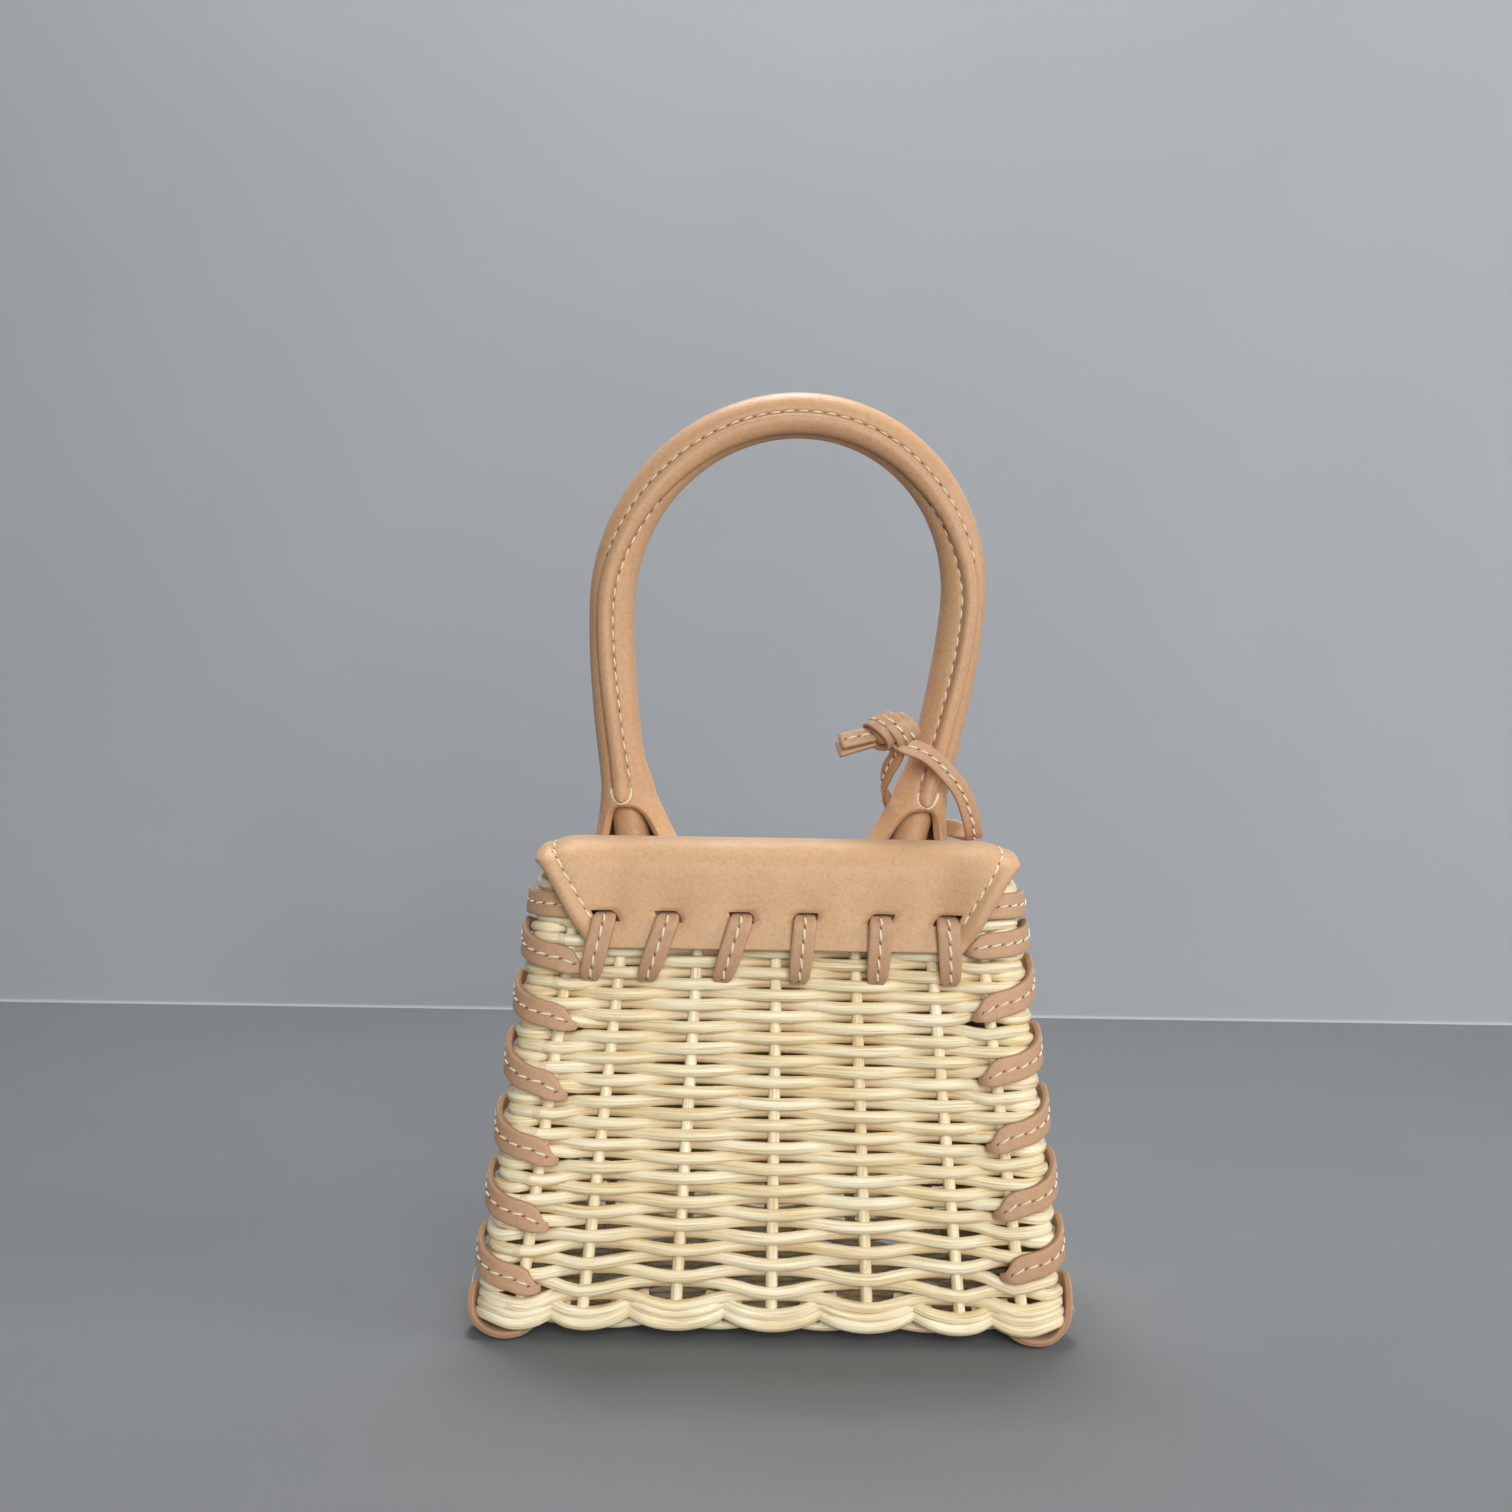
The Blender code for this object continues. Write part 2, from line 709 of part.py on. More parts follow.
def build_handle(parts, leather):
    """The rolled grip with the raised welt of its seam on the -Y side."""
    line = handle_line()
    rings = []
    for index, (point, share) in enumerate(line):
        before = line[max(0, index - 1)][0]
        after = line[min(len(line) - 1, index + 1)][0]
        tangent = (after - before).normalized()
        inner = tangent.cross(Vector((0, -1, 0)))
        tilt = math.radians(WELT_TILT * smooth_step(share))
        swell = HANDLE_FOOT_SWELL * max(0, 1 - share * 7) ** 1.5
        ring = []
        for angle, rise in handle_section():
            turn = math.radians(angle) + tilt
            direction = Vector((0, -1, 0)) * math.cos(turn) + inner * math.sin(turn)
            radius = HANDLE_RADIUS + swell + WELT_HEIGHT * rise
            ring.append(point + direction * radius)
        if index in (0, len(line) - 1):
            ring = [p + tangent * ((point.z - p.z) / tangent.z) for p in ring]
        rings.append(ring)
    return add_object("handle_grip", loft("handle_grip", rings), leather, parts)


def handle_foot(side):
    """The foot of one leg and the direction in which the leg runs down into the cover."""
    line = handle_line()
    end, beside = (line[0][0], line[1][0]) if side < 0 else (line[-1][0], line[-2][0])
    return end, (end - beside).normalized()


def cover_top():
    """Height of the cover's upper face where the handle stands."""
    profile = cover_profile()
    return min(z for y, z, _, _ in profile if abs(y) < RIM_DEPTH / 4) + COVER_THICKNESS / 2


def build_flare(side, parts, cutters, leather):
    """The flared leather end of one leg, with its arched mouth towards -Y."""
    foot, down = handle_foot(side)
    neck = HANDLE_RADIUS + HANDLE_FOOT_SWELL
    floor = cover_top() + GAP
    shells = []
    for inset in (0, FLARE_WALL):
        rings = []
        for step in range(FLARE_STEPS + 1):
            share = step / FLARE_STEPS
            height = floor + FLARE_HEIGHT * (1 - share)
            across = neck + (FLARE_FOOT_RADIUS - neck) * share**1.5 - inset
            deep = neck + (FLARE_FOOT_DEPTH - neck) * share**1.5 - inset
            centre = foot + down * ((height - foot.z) / down.z)
            rings.append(
                [
                    Vector(
                        (
                            centre.x + across * math.cos(2 * math.pi * k / FLARE_SIDES),
                            centre.y + deep * math.sin(2 * math.pi * k / FLARE_SIDES),
                            height,
                        )
                    )
                    for k in range(FLARE_SIDES)
                ]
            )
        shells.append(rings)
    outer, inner = shells
    name = f"handle_flare_{'left' if side < 0 else 'right'}"
    flare = add_object(name, loft(name, outer + inner[::-1], closed=True), leather, parts)
    base = foot + down * ((floor - foot.z) / down.z)
    steps = 8
    outline = [Vector((-MOUTH_WIDTH / 2, 0, -MM)), Vector((MOUTH_WIDTH / 2, 0, -MM))]
    for step in range(steps + 1):
        angle = math.pi * step / steps
        x = MOUTH_WIDTH / 2 * math.cos(angle)
        outline.append(Vector((x, 0, MOUTH_RISE * math.sin(angle))))
    rings = [
        [Vector((base.x + p.x, y, floor + p.z)) for p in outline]
        for y in (-2 * FLARE_FOOT_DEPTH, -0.2 * FLARE_FOOT_DEPTH)
    ]
    mouth = add_object(f"{name}_mouth", loft(f"{name}_mouth", rings), None, cutters)
    cut(flare, mouth)
    return flare


def build_core(side, parts, leather):
    """The round core that shows in the mouth of a flared end."""
    foot, down = handle_foot(side)
    top = foot + down * (GAP / -down.z)
    bottom = foot + down * ((cover_top() + GAP - foot.z) / down.z)
    rings = []
    for centre in (top, (top + bottom) / 2, bottom):
        rings.append(
            [
                centre
                + Vector((math.cos(2 * math.pi * k / 12), math.sin(2 * math.pi * k / 12), 0))
                * CORE_RADIUS
                for k in range(12)
            ]
        )
    name = f"handle_core_{'left' if side < 0 else 'right'}"
    return add_object(name, loft(name, rings), leather, parts)


# Tie


def knot_centre():
    """The middle of the knot, in front of the right leg and to its left."""
    return handle_foot(1)[0] + KNOT_OFFSET


def build_tie(parts, leather):
    """The tie's strap: from the knot over the front of the leg, round it and back to the knot."""
    foot = Vector((handle_foot(1)[0].x, 0, cover_top()))
    start = knot_centre() - KNOT_DIRECTION * (KNOT_LENGTH / 2 + GAP + 0.65 * TIE_WIDTH)
    stations = [(start, Vector(TIE_ROUTE[0][3]))]
    for x, y, z, hint in TIE_ROUTE:
        stations.append((foot + Vector((x, y, z)) * MM, Vector(hint)))
    return add_strap("tie_strap", stations, TIE_WIDTH, TIE_THICKNESS, leather, parts)


def build_knot(parts, leather):
    """The overhand knot: a turned barrel with a swelling for each wrap of the strap."""
    across = KNOT_DIRECTION.cross(UP).normalized()
    upward = across.cross(KNOT_DIRECTION).normalized()
    rings = []
    steps = 4 * KNOT_WRAPS
    for step in range(steps + 1):
        share = step / steps
        wrap = abs(math.sin(math.pi * KNOT_WRAPS * share))
        barrel = math.sin(math.pi * (0.14 + 0.72 * share)) ** 0.6
        radius = KNOT_RADIUS * barrel * (0.86 + 0.14 * wrap)
        centre = knot_centre() + KNOT_DIRECTION * KNOT_LENGTH * (share - 0.5)
        rings.append(
            [
                centre
                + (
                    across * math.cos(2 * math.pi * k / KNOT_SIDES)
                    + upward * math.sin(2 * math.pi * k / KNOT_SIDES)
                )
                * radius
                for k in range(KNOT_SIDES)
            ]
        )
    return add_object("tie_knot", loft("tie_knot", rings), leather, parts)


def build_tail(number, parts, leather):
    """One of the two cut ends of the strap that leave the knot together."""
    across = KNOT_DIRECTION.cross(UP).normalized()
    sign = 1 if number else -1
    offset = across * sign * (TIE_THICKNESS / 2 + GAP / 2)
    start = knot_centre() + KNOT_DIRECTION * (KNOT_LENGTH / 2 + GAP) + offset
    direction = (KNOT_DIRECTION + across * sign * math.radians(TAIL_SPREAD)).normalized()
    stations = [
        (start + direction * TAIL_LENGTH * share, across)
        for share in (0, 0.5, 1)
    ]
    name = f"tie_tail_{number + 1}"
    return add_strap(name, stations, TIE_WIDTH, TIE_THICKNESS, leather, parts)


def main():
    """Builds the whole bag."""
    parts, cutters = rest_scene()
    cane = principled("cane", (0.80, 0.67, 0.41), 0.55)
    cover_leather = principled("cover_leather", (0.62, 0.38, 0.22), 0.45)
    handle_leather = principled("handle_leather", (0.60, 0.36, 0.21), 0.42)
    lace_leather = principled("lace_leather", (0.56, 0.35, 0.22), 0.55)

    wall = build_wall(parts, cane)
    border_ring("foot_border", foot_centre, BORDER_RADIUS, parts, cane)
    border_ring("rim_border", rim_centre, BORDER_RADIUS, parts, cane)
    build_base(parts, cane)
    long_holes, side_holes = corner_holes()
    cut(wall, add_cutter("long_wall_holes", long_holes, cutters))
    cut(wall, add_cutter("side_wall_holes", side_holes, cutters))

    cover = build_cover(parts, cover_leather)
    upper, lower = strap_holes()
    slots = add_cutter("strap_slots", upper, cutters)
    cut(wall, slots)
    cut(cover, slots)
    cut(wall, add_cutter("strap_holes", lower, cutters))
    for number, ends in enumerate(COVER_STRAPS):
        build_cover_strap(number, ends, parts, lace_leather)
    for side in (-1, 1):
        for face in (-1, 1):
            build_corner_lace(side, face, parts, lace_leather)

    build_handle(parts, handle_leather)
    for side in (-1, 1):
        build_flare(side, parts, cutters, handle_leather)
        build_core(side, parts, handle_leather)

    build_tie(parts, lace_leather)
    build_knot(parts, lace_leather)
    for number in range(2):
        build_tail(number, parts, lace_leather)


main()
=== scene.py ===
"""Looks of the mini basket bag: the cane weave, the laced leather cover, the corner laces, the
rolled handle with its flared ends, and the knotted tie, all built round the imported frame.

The laced wall faces -Y and the bag stands on Z = 0. Sizes are in metres.
"""

from __future__ import annotations

import logging
import math
import random
from dataclasses import dataclass, field
from enum import Enum

import bmesh
import bpy
from mathutils import Matrix, Vector


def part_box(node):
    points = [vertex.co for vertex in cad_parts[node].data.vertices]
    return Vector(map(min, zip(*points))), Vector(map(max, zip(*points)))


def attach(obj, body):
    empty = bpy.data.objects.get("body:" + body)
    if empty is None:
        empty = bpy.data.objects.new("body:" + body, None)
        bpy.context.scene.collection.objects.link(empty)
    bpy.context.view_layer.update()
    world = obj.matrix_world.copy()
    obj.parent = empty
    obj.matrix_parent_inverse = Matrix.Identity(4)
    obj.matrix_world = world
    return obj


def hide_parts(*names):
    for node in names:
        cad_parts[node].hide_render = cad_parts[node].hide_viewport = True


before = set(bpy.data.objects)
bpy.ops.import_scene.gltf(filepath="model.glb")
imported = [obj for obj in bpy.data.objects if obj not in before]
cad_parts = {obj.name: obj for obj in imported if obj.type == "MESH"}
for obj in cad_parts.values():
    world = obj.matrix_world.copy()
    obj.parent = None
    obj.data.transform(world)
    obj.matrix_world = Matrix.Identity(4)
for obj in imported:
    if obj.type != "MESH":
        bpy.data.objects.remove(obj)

LOG = logging.getLogger("mini_basket_bag")
MM = 0.001
BODY = "root"
UP = Vector((0, 0, 1))
BACKWARD = Vector((0, -1, 0))
Table = tuple[tuple[float, float], ...]
Rgb = tuple[int, int, int]
Socket = bpy.types.NodeSocket
Material = bpy.types.Material


class Slot(Enum):
    """Names of the material slots; the seams take one but do not use it."""

    CANE = "cane"
    COVER = "cover_leather"
    HANDLE = "handle_leather"
    LACE = "lace_leather"


class Side(Enum):
    """Ends of the bag along X."""

    LEFT = -1
    RIGHT = 1


class Face(Enum):
    """Long walls: REAR is the laced one at -Y."""

    REAR = -1
    FRONT = 1


# Small helpers


def smooth_step(value: float) -> float:
    """0 to 1 with soft ends."""
    value = min(1.0, max(0.0, value))
    return value * value * (3 - 2 * value)


def blend(low: float, high: float, share: float) -> float:
    """Straight mix of two values."""
    return low + (high - low) * share


def curve(
    t: float, first: float | Vector, start: float | Vector, second: float | Vector, end: float | Vector
) -> float | Vector:
    """Reads a smooth curve between two places.

    Args:
        t: Share of the way.
        first: The first place.
        start: Direction there, as long as the way.
        second: The second place.
        end: Direction there.

    Returns:
        The place on the curve.
    """
    return (
        first * (2 * t**3 - 3 * t**2 + 1)
        + start * (t**3 - 2 * t**2 + t)
        + second * (3 * t**2 - 2 * t**3)
        + end * (t**3 - t**2)
    )


def from_table(table: Table, place: float) -> float:
    """Reads a table of rows along a smooth curve.

    Args:
        table: Rows of (place, value) with rising places.
        place: Where to read it.

    Returns:
        The value there, held at the end rows beyond them.
    """
    if place <= table[0][0]:
        return table[0][1]
    for index in range(len(table) - 1):
        low, high = table[index], table[index + 1]
        if place > high[0]:
            continue
        before = table[max(0, index - 1)]
        after = table[min(len(table) - 1, index + 2)]
        span = high[0] - low[0]
        slope = (high[1] - low[1]) / span
        first = slope if before is low else (high[1] - before[1]) / (high[0] - before[0])
        last = slope if after is high else (after[1] - low[1]) / (after[0] - low[0])
        limit = 3 * abs(slope)
        first = max(-limit, min(limit, first))
        last = max(-limit, min(limit, last))
        return curve((place - low[0]) / span, low[1], span * first, high[1], span * last)
    return table[-1][1]


def colour(red: int, green: int, blue: int) -> tuple[float, float, float, float]:
    """Linear colour of a display colour given as 0 to 255.

    Args:
        red: Its red part.
        green: Its green part.
        blue: Its blue part.

    Returns:
        The colour as a shader takes it.
    """
    values = []
    for part in (red, green, blue):
        share = part / 255
        values.append(share / 12.92 if share <= 0.04045 else ((share + 0.055) / 1.055) ** 2.4)
    return (*values, 1.0)


def neighbours(items: list, index: int) -> tuple:
    """The items before and after one, or the item itself where there is none."""
    return items[max(0, index - 1)], items[min(len(items) - 1, index + 1)]


def show(name: str, data: bpy.types.ID) -> bpy.types.Object:
    """Adds an object with its data to the scene."""
    item = bpy.data.objects.new(name, data)
    bpy.context.scene.collection.objects.link(item)
    return item


def add_node(
    tree: bpy.types.NodeTree, kind: str, sources: dict[str | int, object], settings: dict[str, object]
) -> bpy.types.Node:
    """Adds a node to a tree.

    Args:
        tree: The tree.
        kind: The node's Blender type.
        sources: For each of its inputs, a socket to link or a plain value.
        settings: Its own settings.

    Returns:
        The node.
    """
    node = tree.nodes.new(kind)
    for name, value in settings.items():
        setattr(node, name, value)
    for key, source in sources.items():
        if isinstance(source, Socket):
            tree.links.new(source, node.inputs[key])
        else:
            node.inputs[key].default_value = source
    return node


# Meshes


@dataclass
class Draft:
    """Points, faces and named values of a mesh that is being made."""

    points: list[Vector] = field(default_factory=list)
    faces: list[tuple[int, ...]] = field(default_factory=list)
    edges: list[tuple[int, int]] = field(default_factory=list)
    values: dict[str, list] = field(default_factory=dict)

    def add(self, point: Vector, **values: float | Vector) -> int:
        """Adds a point with its values.

        Args:
            point: Its place.
            values: A number or a vector for each named value.

        Returns:
            The point's number.
        """
        self.points.append(point)
        for name, value in values.items():
            self.values.setdefault(name, []).append(value)
        return len(self.points) - 1

    def skin(self, rows: list[list[int]], around: bool = True, closed: bool = False) -> None:
        """Faces between successive rows of points.

        Args:
            rows: Rows of point numbers, all of one length.
            around: Joins the end of each row to its start.
            closed: Joins the last row to the first.
        """
        count = len(rows[0])
        for index in range(len(rows) if closed else len(rows) - 1):
            here, there = rows[index], rows[(index + 1) % len(rows)]
            for step in range(count if around else count - 1):
                beside = (step + 1) % count
                self.faces.append((here[step], here[beside], there[beside], there[step]))

    def ring(
        self, centre: Vector, first: Vector, second: Vector, sides: int, **values: float
    ) -> list[int]:
        """Adds a ring of points.

        Args:
            centre: Its middle.
            first: Half axis to its first point.
            second: Half axis a quarter turn on.
            sides: How many points it has.
            values: A number for each named value.

        Returns:
            The numbers of its points.
        """
        row = []
        for side in range(sides):
            angle = 2 * math.pi * side / sides
            point = centre + first * math.cos(angle) + second * math.sin(angle)
            row.append(self.add(point, **values))
        return row

    def close(self, rows: list[list[int]]) -> None:
        """Skins rows of points and closes both ends with one face each."""
        self.skin(rows)
        self.faces.append(tuple(rows[0]))
        self.faces.append(tuple(rows[-1]))

    def mesh(self, name: str, merge: float = 0.0, tidy: bool = True) -> bpy.types.Mesh:
        """Makes the mesh, smooth shaded.

        Args:
            name: Its name.
            merge: Points nearer than this become one.
            tidy: Turns the faces outwards.

        Returns:
            The mesh, with each named value as an attribute of its points.
        """
        mesh = bpy.data.meshes.new(name)
        mesh.from_pydata([tuple(p) for p in self.points], self.edges, self.faces)
        for title, values in self.values.items():
            if isinstance(values[0], Vector):
                layer = mesh.attributes.new(title, "FLOAT_VECTOR", "POINT")
                layer.data.foreach_set("vector", [part for value in values for part in value])
            else:
                layer = mesh.attributes.new(title, "FLOAT", "POINT")
                layer.data.foreach_set("value", values)
        if self.faces:
            shape = bmesh.new()
            shape.from_mesh(mesh)
            if merge:
                bmesh.ops.remove_doubles(shape, verts=shape.verts, dist=merge)
            if tidy:
                bmesh.ops.recalc_face_normals(shape, faces=shape.faces)
            for face in shape.faces:
                face.smooth = True
            shape.to_mesh(mesh)
            shape.free()
        return mesh


def place_piece(
    name: str,
    mesh: bpy.types.Mesh,
    nodes: tuple[str, ...] = (),
    material: Material | None = None,
) -> None:
    """Shows a finished mesh as a piece of the bag.

    Args:
        name: The piece's name.
        mesh: Its mesh, in place.
        nodes: Solids of the frame that it stands for.
        material: Its finish, where the mesh has none yet.
    """
    if material:
        mesh.materials.append(material)
    mesh.name = name
    piece = show(name, mesh)
    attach(piece, BODY)
    if nodes:
        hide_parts(*nodes)
    triangles = sum(len(polygon.vertices) - 2 for polygon in mesh.polygons)
    LOG.info("%s: %d triangles", name, triangles)


# Node trees that repeat a shape


@dataclass
class Tree:
    """A Geometry Nodes tree that is being made, with its named inputs."""

    name: str
    group: bpy.types.NodeTree = field(init=False)
    start: bpy.types.Node = field(init=False)

    def __post_init__(self) -> None:
        """Makes the empty tree with its geometry input and output."""
        self.group = bpy.data.node_groups.new(self.name, "GeometryNodeTree")
        self.socket("Geometry", "NodeSocketGeometry")
        kind = "NodeSocketGeometry"
        self.group.interface.new_socket(name="Geometry", in_out="OUTPUT", socket_type=kind)
        self.start = self.group.nodes.new("NodeGroupInput")

    def socket(self, name: str, kind: str) -> None:
        """Adds a named input."""
        self.group.interface.new_socket(name=name, in_out="INPUT", socket_type=kind)

    def node(self, kind: str, sources: dict[str | int, object], **settings: object) -> bpy.types.Node:
        """Adds a node of a Blender type, with its sources and settings as in add_node."""
        return add_node(self.group, kind, sources, settings)

    def store(
        self, geometry: Socket, name: str, value: Socket, kind: str, domain: str
    ) -> Socket:
        """Stores a value under a name.

        Args:
            geometry: What it is stored on.
            name: Its name.
            value: The value.
            kind: Its data type.
            domain: The part of the geometry that has one value each.

        Returns:
            The geometry with the value.
        """
        sources = {"Geometry": geometry, "Name": name, "Value": value}
        node = self.node("GeometryNodeStoreNamedAttribute", sources, data_type=kind, domain=domain)
        return node.outputs[0]

    def finish(self, geometry: Socket) -> None:
        """Realizes the instances, sets the material and ends the tree.

        Args:
            geometry: What the tree has made.
        """
        smooth = self.node("GeometryNodeSetShadeSmooth", {"Geometry": geometry})
        real = self.node("GeometryNodeRealizeInstances", {"Geometry": smooth.outputs[0]})
        sources = {"Geometry": real.outputs[0], "Material": self.start.outputs["Material"]}
        dressed = self.node("GeometryNodeSetMaterial", sources)
        end = self.group.nodes.new("NodeGroupOutput")
        self.group.links.new(dressed.outputs[0], end.inputs[0])

    def run(self, mesh: bpy.types.Mesh, inputs: dict[str, object]) -> bpy.types.Mesh:
        """Runs the tree on a mesh.

        Args:
            mesh: What goes in.
            inputs: A value for each named input.

        Returns:
            The result as a plain mesh.
        """
        holder = show(f"{self.name} source", mesh)
        modifier = holder.modifiers.new(self.name, "NODES")
        modifier.node_group = self.group
        for item in self.group.interface.items_tree:
            if item.in_out == "INPUT" and item.name in inputs:
                modifier[item.identifier] = inputs[item.name]
        graph = bpy.context.evaluated_depsgraph_get()
        result = bpy.data.meshes.new_from_object(
            holder.evaluated_get(graph), preserve_all_data_layers=True, depsgraph=graph
        )
        bpy.data.objects.remove(holder)
        return result


def cane_tree() -> Tree:
    """The tree that runs a round cane along each path of a mesh.

    Returns:
        A tree with the inputs Radius, Sides, Seed and Material. It stores the length along each
        cane, the direction round it and a number of its own for each cane.
    """
    tree = Tree("cane along a path")
    tree.socket("Radius", "NodeSocketFloat")
    tree.socket("Sides", "NodeSocketInt")
    tree.socket("Seed", "NodeSocketInt")
    tree.socket("Material", "NodeSocketMaterial")
    start = tree.start.outputs
    curve = tree.node("GeometryNodeMeshToCurve", {"Mesh": start["Geometry"]})
    spline = tree.node("GeometryNodeSplineParameter", {})
    along = tree.store(curve.outputs[0], "along", spline.outputs["Length"], "FLOAT", "POINT")
    chance = tree.node("FunctionNodeRandomValue", {"Seed": start["Seed"]}, data_type="FLOAT")
    named = tree.store(along, "cane", chance.outputs[1], "FLOAT", "CURVE")
    sources = {"Resolution": start["Sides"], "Radius": start["Radius"]}
    circle = tree.node("GeometryNodeCurvePrimitiveCircle", sources, mode="RADIUS")
    place = tree.node("GeometryNodeInputPosition", {})
    turned = tree.store(circle.outputs[0], "around", place.outputs[0], "FLOAT_VECTOR", "POINT")
    sources = {"Curve": named, "Profile Curve": turned, "Fill Caps": True}
    tube = tree.node("GeometryNodeCurveToMesh", sources)
    tree.finish(tube.outputs[0])
    return tree


def stitch_tree() -> Tree:
    """The tree that sets a small shape on each point, turned along the seam and outwards.

    Returns:
        A tree with the inputs Shape, Seed and Material.
    """
    tree = Tree("shape on each point")
    tree.socket("Shape", "NodeSocketObject")
    tree.socket("Seed", "NodeSocketInt")
    tree.socket("Material", "NodeSocketMaterial")
    start = tree.start.outputs
    shape = tree.node("GeometryNodeObjectInfo", {"Object": start["Shape"], "As Instance": True})
    along = tree.node("GeometryNodeInputNamedAttribute", {"Name": "along"}, data_type="FLOAT_VECTOR")
    out = tree.node("GeometryNodeInputNamedAttribute", {"Name": "out"}, data_type="FLOAT_VECTOR")
    turn = tree.node(
        "FunctionNodeAxesToRotation",
        {"Primary Axis": out.outputs[0], "Secondary Axis": along.outputs[0]},
        primary_axis="Z",
        secondary_axis="X",
    )
    size = tree.node(
        "FunctionNodeRandomValue",
        {0: (0.94, 0.92, 0.9), 1: (1.05, 1.1, 1.1), "Seed": start["Seed"]},
        data_type="FLOAT_VECTOR",
    )
    copies = tree.node(
        "GeometryNodeInstanceOnPoints",
        {
            "Points": start["Geometry"],
            "Instance": shape.outputs["Geometry"],
            "Rotation": turn.outputs[0],
            "Scale": size.outputs[0],
        },
    )
    tree.finish(copies.outputs[0])
    return tree


# Finishes


class Nodes:
    """A material that is being made."""

    def __init__(self, name: str) -> None:
        """Starts the material with its shader.

        Args:
            name: The material's name.
        """
        self.material = bpy.data.materials.new(name)
        self.material.use_nodes = True
        self.tree = self.material.node_tree
        self.shader = self.tree.nodes["Principled BSDF"]

    def node(self, kind: str, sources: dict[str | int, object], **settings: object) -> bpy.types.Node:
        """Adds a shader node, with its sources and settings as in add_node."""
        return add_node(self.tree, f"ShaderNode{kind}", sources, settings)

    def value(self, name: str, vector: bool = False) -> Socket:
        """A named value of the mesh."""
        node = self.node("Attribute", {}, attribute_name=name)
        return node.outputs["Vector" if vector else "Fac"]

    def place(self) -> Socket:
        """The place on the piece."""
        return self.node("TexCoord", {}).outputs["Object"]

    def maths(self, operation: str, first: object, second: object) -> Socket:
        """A sum, product or other result of two values."""
        return self.node("Math", {0: first, 1: second}, operation=operation).outputs[0]

    def noise(self, scale: float, detail: float, where: Socket) -> Socket:
        """Noise from 0 to 1, with its scale in repeats a metre."""
        sources = {"Scale": scale, "Detail": detail, "Roughness": 0.6, "Vector": where}
        return self.node("TexNoise", sources).outputs["Fac"]

    def stretch(
        self, low: float, high: float, value: Socket, to: tuple[float, float] = (0, 1)
    ) -> Socket:
        """Maps a range of values to another, held at its ends."""
        sources = {0: value, 1: low, 2: high, 3: to[0], 4: to[1]}
        return self.node("MapRange", sources).outputs[0]

    def mix(self, share: object, first: object, second: object) -> Socket:
        """Mixes two colours."""
        return self.node("Mix", {0: share, 6: first, 7: second}, data_type="RGBA").outputs[2]

    def bump(self, height: Socket, depth: float, strength: float = 1.0) -> None:
        """Sets the shader's bump."""
        node = self.node("Bump", {"Strength": strength, "Distance": depth, "Height": height})
        self.tree.links.new(node.outputs[0], self.shader.inputs["Normal"])

    def dress(self, paint: Socket, roughness: object) -> None:
        """Links the shader's colour and its roughness.

        Args:
            paint: The colour.
            roughness: A socket, or a number for the whole surface.
        """
        self.tree.links.new(paint, self.shader.inputs["Base Color"])
        if isinstance(roughness, Socket):
            self.tree.links.new(roughness, self.shader.inputs["Roughness"])
        else:
            self.shader.inputs["Roughness"].default_value = roughness


@dataclass(frozen=True)
class CaneFinish:
    """Peeled round cane: pale straw with fine streaks, and painted brown shade where it dives."""

    name: str = "peeled_cane"
    pale: Rgb = (255, 247, 220)
    straw: Rgb = (232, 208, 156)
    # brown: the fine streak lines, and the painted shade where the cane dives.
    brown: Rgb = (180, 142, 92)
    streak: float = 2300.0
    streak_depth: float = 0.20 * MM
    groove: float = 0.5

    def material(self) -> Material:
        """Builds the material.

        Returns:
            The material.
        """
        nodes = Nodes(self.name)
        around = nodes.value("around", vector=True)
        length = nodes.maths("MULTIPLY", nodes.value("along"), 0.03)
        own = nodes.maths("MULTIPLY", nodes.value("cane"), 0.6)
        shift = nodes.node("CombineXYZ", {0: own, 1: own, 2: nodes.maths("ADD", length, own)})
        where = nodes.node("VectorMath", {0: around, 1: shift.outputs[0]}, operation="ADD").outputs[0]
        fine = nodes.noise(self.streak, 4.0, where)
        wide = nodes.noise(self.streak * 0.28, 2.0, where)
        patch = nodes.noise(55.0, 2.0, nodes.place())
        share = nodes.maths("MULTIPLY", nodes.stretch(0.38, 0.66, fine), 0.75)
        share = nodes.maths("ADD", share, nodes.maths("MULTIPLY", nodes.stretch(0.35, 0.7, wide), 0.4))
        share = nodes.maths("ADD", share, nodes.stretch(0.3, 0.75, patch, (-0.1, 0.3)))
        share = nodes.maths("ADD", share, nodes.stretch(0.0, 1.0, nodes.value("cane"), (-0.15, 0.15)))
        paint = nodes.mix(share, colour(*self.pale), colour(*self.straw))
        lines = nodes.stretch(0.54, 0.70, fine, (0.0, self.groove))
        paint = nodes.mix(lines, paint, colour(*self.brown))
        # Painted shade: mixed towards brown where the outside value drops below 0.1, where a row passes
        # inside a stake or a foot scallop dives in.
        dive = nodes.stretch(0.1, -1.0, nodes.value("outside"), (0.0, 0.55))
        paint = nodes.mix(dive, paint, colour(*self.brown))
        nodes.dress(paint, nodes.stretch(0.3, 0.7, fine, (0.38, 0.55)))
        nodes.bump(fine, self.streak_depth)
        return nodes.material


